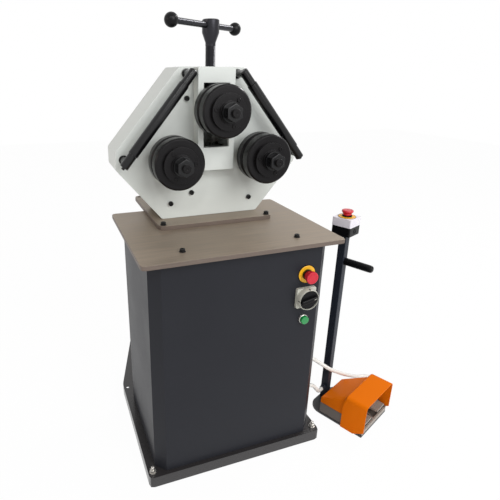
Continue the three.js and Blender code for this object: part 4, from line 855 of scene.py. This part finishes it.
def footPlatePiece():
    bm = blockShape((footPlate["left"], 0, 0),
                    (footPlate["right"], footPlate["depth"], footPlate["thickness"]))
    for corner, isRight in ((footPlate["leftCorner"], False), (footPlate["rightCorner"], True)):
        edges = [edge for edge in bm.edges if reach(edge, "z") > mm
                 and edge.verts[0].co.y > footPlate["depth"] / 2 * mm
                 and (edge.verts[0].co.x > footPlate["right"] / 2 * mm) == isRight]
        bevelEdges(bm, edges, corner, footPlate["cornerSteps"])
    soften(bm, footPlate["edge"], footPlate["sharpness"])
    return carried(bm, stationTurn)


def pedalBasePiece():
    bm = carried(nodeCopy("pedal_base"), stationTurn.inverted())
    cutThrough(bm, (0, pedalTray["cut"], 0), (0, 1, 0))
    for vert in bm.verts:
        if vert.co.y < (pedalTray["cut"] - 0.5) * mm:  # in front of the cut, not on it
            vert.co.z = min(vert.co.z, pedalTray["rise"] * mm)
    bmesh.ops.remove_doubles(bm, verts=bm.verts, dist=mergeGap)
    soften(bm, pedalTray["edge"])
    for face in bm.faces:
        face.material_index = 1 if face.calc_center_median().y < pedalTray["lip"] * mm else 0
    return carried(bm, stationTurn)


addPiece("footPlate", footPlatePiece(), floorPlate, ["foot_plate"])
addPiece("pedalBase", pedalBasePiece(), castGrey, ["pedal_base"]).data.materials.append(treadleGrey)
for name, row in stationParts.items():
    roundedPiece(name, *row)

hood = {"left": -8, "right": 180, "front": -7, "fold": 66, "back": 73, "top": 126.5, "fall": 13, "edge": 14,
        "edgeSteps": 8, "foldEdge": 3, "foldSteps": 4, "foldAngle": 10, "rim": 0.6, "rimAngle": 60,
        "sheet": 3, "skirtRise": 26, "skirtRun": 35, "floorGap": 3, "spacer": 6, "spacerPlace": (50, 30),
        "spacerSink": 1, "spacerSteps": 32, "baseSides": (-0.3, 172.3)}


def hoodPiece():
    bm = bmesh.new()
    leftSide, rightSide, low = hood["left"], hood["right"], hood["top"] - hood["fall"]
    corners = [bm.verts.new((x * mm, hood["back"] * mm, z * mm))
               for x, z in ((leftSide, 0), (leftSide, low), (rightSide, low), (rightSide, 0))]
    lines = [bm.edges.new(pair) for pair in zip(corners, corners[1:])]
    for start, end, rise in ((hood["back"], hood["fold"], hood["fall"]), (hood["fold"], hood["front"], 0)):
        drawn = bmesh.ops.extrude_edge_only(bm, edges=lines)["geom"]
        moved = [item for item in drawn if isinstance(item, bmesh.types.BMVert)]
        lines = [item for item in drawn if isinstance(item, bmesh.types.BMEdge)]
        bmesh.ops.translate(bm, vec=(0, (end - start) * mm, 0), verts=moved)
        bmesh.ops.translate(bm, vec=(0, 0, rise * mm), verts=[vert for vert in moved if vert.co.z > mm])
    topEdges = [edge for edge in bm.edges if edge.is_manifold and reach(edge, "x") < mm
                and all(vert.co.z > low / 2 * mm for vert in edge.verts)]
    bevelEdges(bm, topEdges, hood["edge"], hood["edgeSteps"])
    sharpness = math.radians(hood["foldAngle"])
    foldLines = [edge for edge in bm.edges if edge.is_manifold and edge.calc_face_angle(0) > sharpness
                 and all(abs(vert.co.y - hood["fold"] * mm) < mm for vert in edge.verts)]
    bevelEdges(bm, foldLines, hood["foldEdge"], hood["foldSteps"])
    run = Vector((0, hood["skirtRun"], hood["floorGap"] - hood["skirtRise"])).normalized()
    cutThrough(bm, (0, hood["front"], hood["skirtRise"]), right.cross(run), clearInner=True)
    cutThrough(bm, (0, 0, hood["floorGap"]), (0, 0, 1), clearInner=True)
    bmesh.ops.recalc_face_normals(bm, faces=bm.faces)
    topFace = max(bm.faces, key=lambda face: face.calc_center_median().z)
    if topFace.normal.z < 0:
        bmesh.ops.reverse_faces(bm, faces=bm.faces)
    bmesh.ops.solidify(bm, geom=bm.faces[:], thickness=hood["sheet"] * mm)
    bmesh.ops.recalc_face_normals(bm, faces=bm.faces)
    sharpness = math.radians(hood["rimAngle"])
    rims = [edge for edge in bm.edges if edge.is_manifold and edge.calc_face_angle(0) > sharpness]
    bevelEdges(bm, rims, hood["rim"], 2)
    (baseLeft, baseRight), sink = hood["baseSides"], hood["spacerSink"]
    for start, end in ((leftSide + sink, baseLeft), (baseRight, rightSide - sink)):
        profile = stepped(0, start, (hood["spacer"], end))
        joinInto(bm, turned(profile, (0, *hood["spacerPlace"]), right, hood["spacerSteps"]))
    return carried(bm, stationTurn)


addPiece("guardHood", hoodPiece(), orangePaint, ["guard_hood"])

stationBox = {"half": 32, "low": 640.5, "split": 670, "corner": 4, "cornerSteps": 5, "edge": 1.2,
              "edgeSteps": 3, "sharpness": 50, "baseInset": 0.6, "knockouts": (8, 5.5), "knockoutWidth": 1.2,
              "knockoutHeight": 0.8, "knockoutSteps": 40}
# the grip is straight between two shares of its length, and its end rounds in by steps
grip = {"z": 548, "front": 82.5, "back": 176.2, "radius": 12, "neck": 12, "neckChamfer": 1,
        "straight": (0.3, 0.8), "tip": ((0.5, 6), (2, 2.5), (4.5, 0.6), (7, 0)), "steps": 48,
        "edge": 0.3}


def boxHalf(bottom, top, inset):
    (x, y), half = station["pole"], stationBox["half"]
    bm = blockShape((x - half + inset, y - half + inset, bottom), (x + half - inset, y + half - inset, top))
    uprights = [edge for edge in bm.edges if reach(edge, "z") > mm]
    bevelEdges(bm, uprights, stationBox["corner"], stationBox["cornerSteps"])
    soften(bm, stationBox["edge"], stationBox["sharpness"], stationBox["edgeSteps"])
    return bm


def stationBoxPieces():
    (x, y), half = station["pole"], stationBox["half"]
    low, split, inset = stationBox["low"], stationBox["split"], stationBox["baseInset"]
    base = boxHalf(low, split, inset)
    for ring in stationBox["knockouts"]:
        mark = stepped(ring - stationBox["knockoutWidth"], 0, (ring, stationBox["knockoutHeight"]))
        place = (x, y - half + inset, (low + split) / 2)
        joinInto(base, turned(mark, place, front, stationBox["knockoutSteps"], 0))
    addPiece("stationBoxBase", carried(base, stationTurn), blackPlastic, body="root")
    cover = boxHalf(split, station["boxTop"], 0)
    addPiece("stationBoxCover", carried(cover, stationTurn), coverPlastic, ["station_box"], body="root")


def gripPiece():
    radius, neck, chamfer = grip["radius"], grip["neck"], grip["neckChamfer"]
    length = grip["back"] - grip["front"]
    profile = [(0, 0), (neck - chamfer, 0), (neck, chamfer)]
    profile += [(radius, share * length) for share in grip["straight"]]
    profile += [(radius - inset, length - back) for inset, back in grip["tip"]]
    profile.append((0, length))
    place = (station["pole"][0], grip["back"], grip["z"])
    return carried(turned(profile, place, front, grip["steps"], grip["edge"]), stationTurn)


stationBoxPieces()
addPiece("poleGrip", gripPiece(), blackPlastic, ["pole_grip"])
print("pedal station dressed")


# floor and light
studio = {"floorTone": tone(236, 236, 236), "floorRoughness": 0.9, "floorSize": 14, "floorGlow": 0.97,
          "worldGrey": 0.58}
lights = {"keyLight": {"place": (1.1, -3.2, 2.6), "aim": (0, 0, 0.7), "size": 3, "power": 108},
          "fillLight": {"place": (-3.4, -0.4, 1.8), "aim": (0, 0, 0.6), "size": 1.6, "power": 13,
                        "color": (1, 0.8, 0.64)},
          "glintLight": {"place": (-1.2, -2.7, 3), "aim": (0, 0, 1), "size": 0.35, "power": 14},
          "rimLight": {"place": (2.6, 0.7, 2.9), "aim": (0, 0, 0.7), "size": 0.6, "power": 34}}


# 1 where the camera sees it, also by gloss or through glass
def seenDirectly(tree):
    path = tree.nodes.new("ShaderNodeLightPath")
    either = mathNode(tree, "MAXIMUM", path.outputs["Is Camera Ray"], path.outputs["Is Glossy Ray"])
    return mathNode(tree, "MAXIMUM", either, path.outputs["Is Transmission Ray"])


def makeFloor():
    bm = bmesh.new()
    bmesh.ops.create_grid(bm, x_segments=1, y_segments=1, size=studio["floorSize"] / 2)
    mesh = bpy.data.meshes.new("floor")
    bm.to_mesh(mesh)
    bm.free()
    floor = addObject("floor", mesh)
    material = bpy.data.materials.new("floorWhite")
    material.use_nodes = True
    tree = material.node_tree
    shader = tree.nodes["Principled BSDF"]
    shader.inputs["Base Color"].default_value = studio["floorTone"]
    shader.inputs["Roughness"].default_value = studio["floorRoughness"]
    glow = tree.nodes.new("ShaderNodeEmission")
    blend = tree.nodes.new("ShaderNodeMixShader")
    tree.links.new(mathNode(tree, "MULTIPLY", seenDirectly(tree), studio["floorGlow"]), blend.inputs["Fac"])
    tree.links.new(shader.outputs["BSDF"], blend.inputs[1])
    tree.links.new(glow.outputs["Emission"], blend.inputs[2])
    tree.links.new(blend.outputs["Shader"], tree.nodes["Material Output"].inputs["Surface"])
    mesh.materials.append(material)


def makeWorld():
    world = bpy.data.worlds.new("studio")
    world.use_nodes = True
    tree = world.node_tree
    shade = tree.nodes["Background"]
    grey = studio["worldGrey"]
    level = mathNode(tree, "ADD", mathNode(tree, "MULTIPLY", seenDirectly(tree), 1 - grey), grey)
    shade.inputs["Color"].default_value = (1, 1, 1, 1)
    tree.links.new(level, shade.inputs["Strength"])
    bpy.context.scene.world = world


def makeLamp(name, place, aim, size, power, color=(1, 1, 1)):
    data = bpy.data.lights.new(name, "AREA")
    data.shape = "DISK"
    data.size = size
    data.energy = power
    data.color = color
    item = addObject(name, data)
    item.location = place
    item.rotation_euler = (Vector(aim) - Vector(place)).to_track_quat("-Z", "Y").to_euler()


makeFloor()
makeWorld()
for name, row in lights.items():
    makeLamp(name, **row)
bpy.context.scene.view_settings.view_transform = "Standard"

print("scene finished")
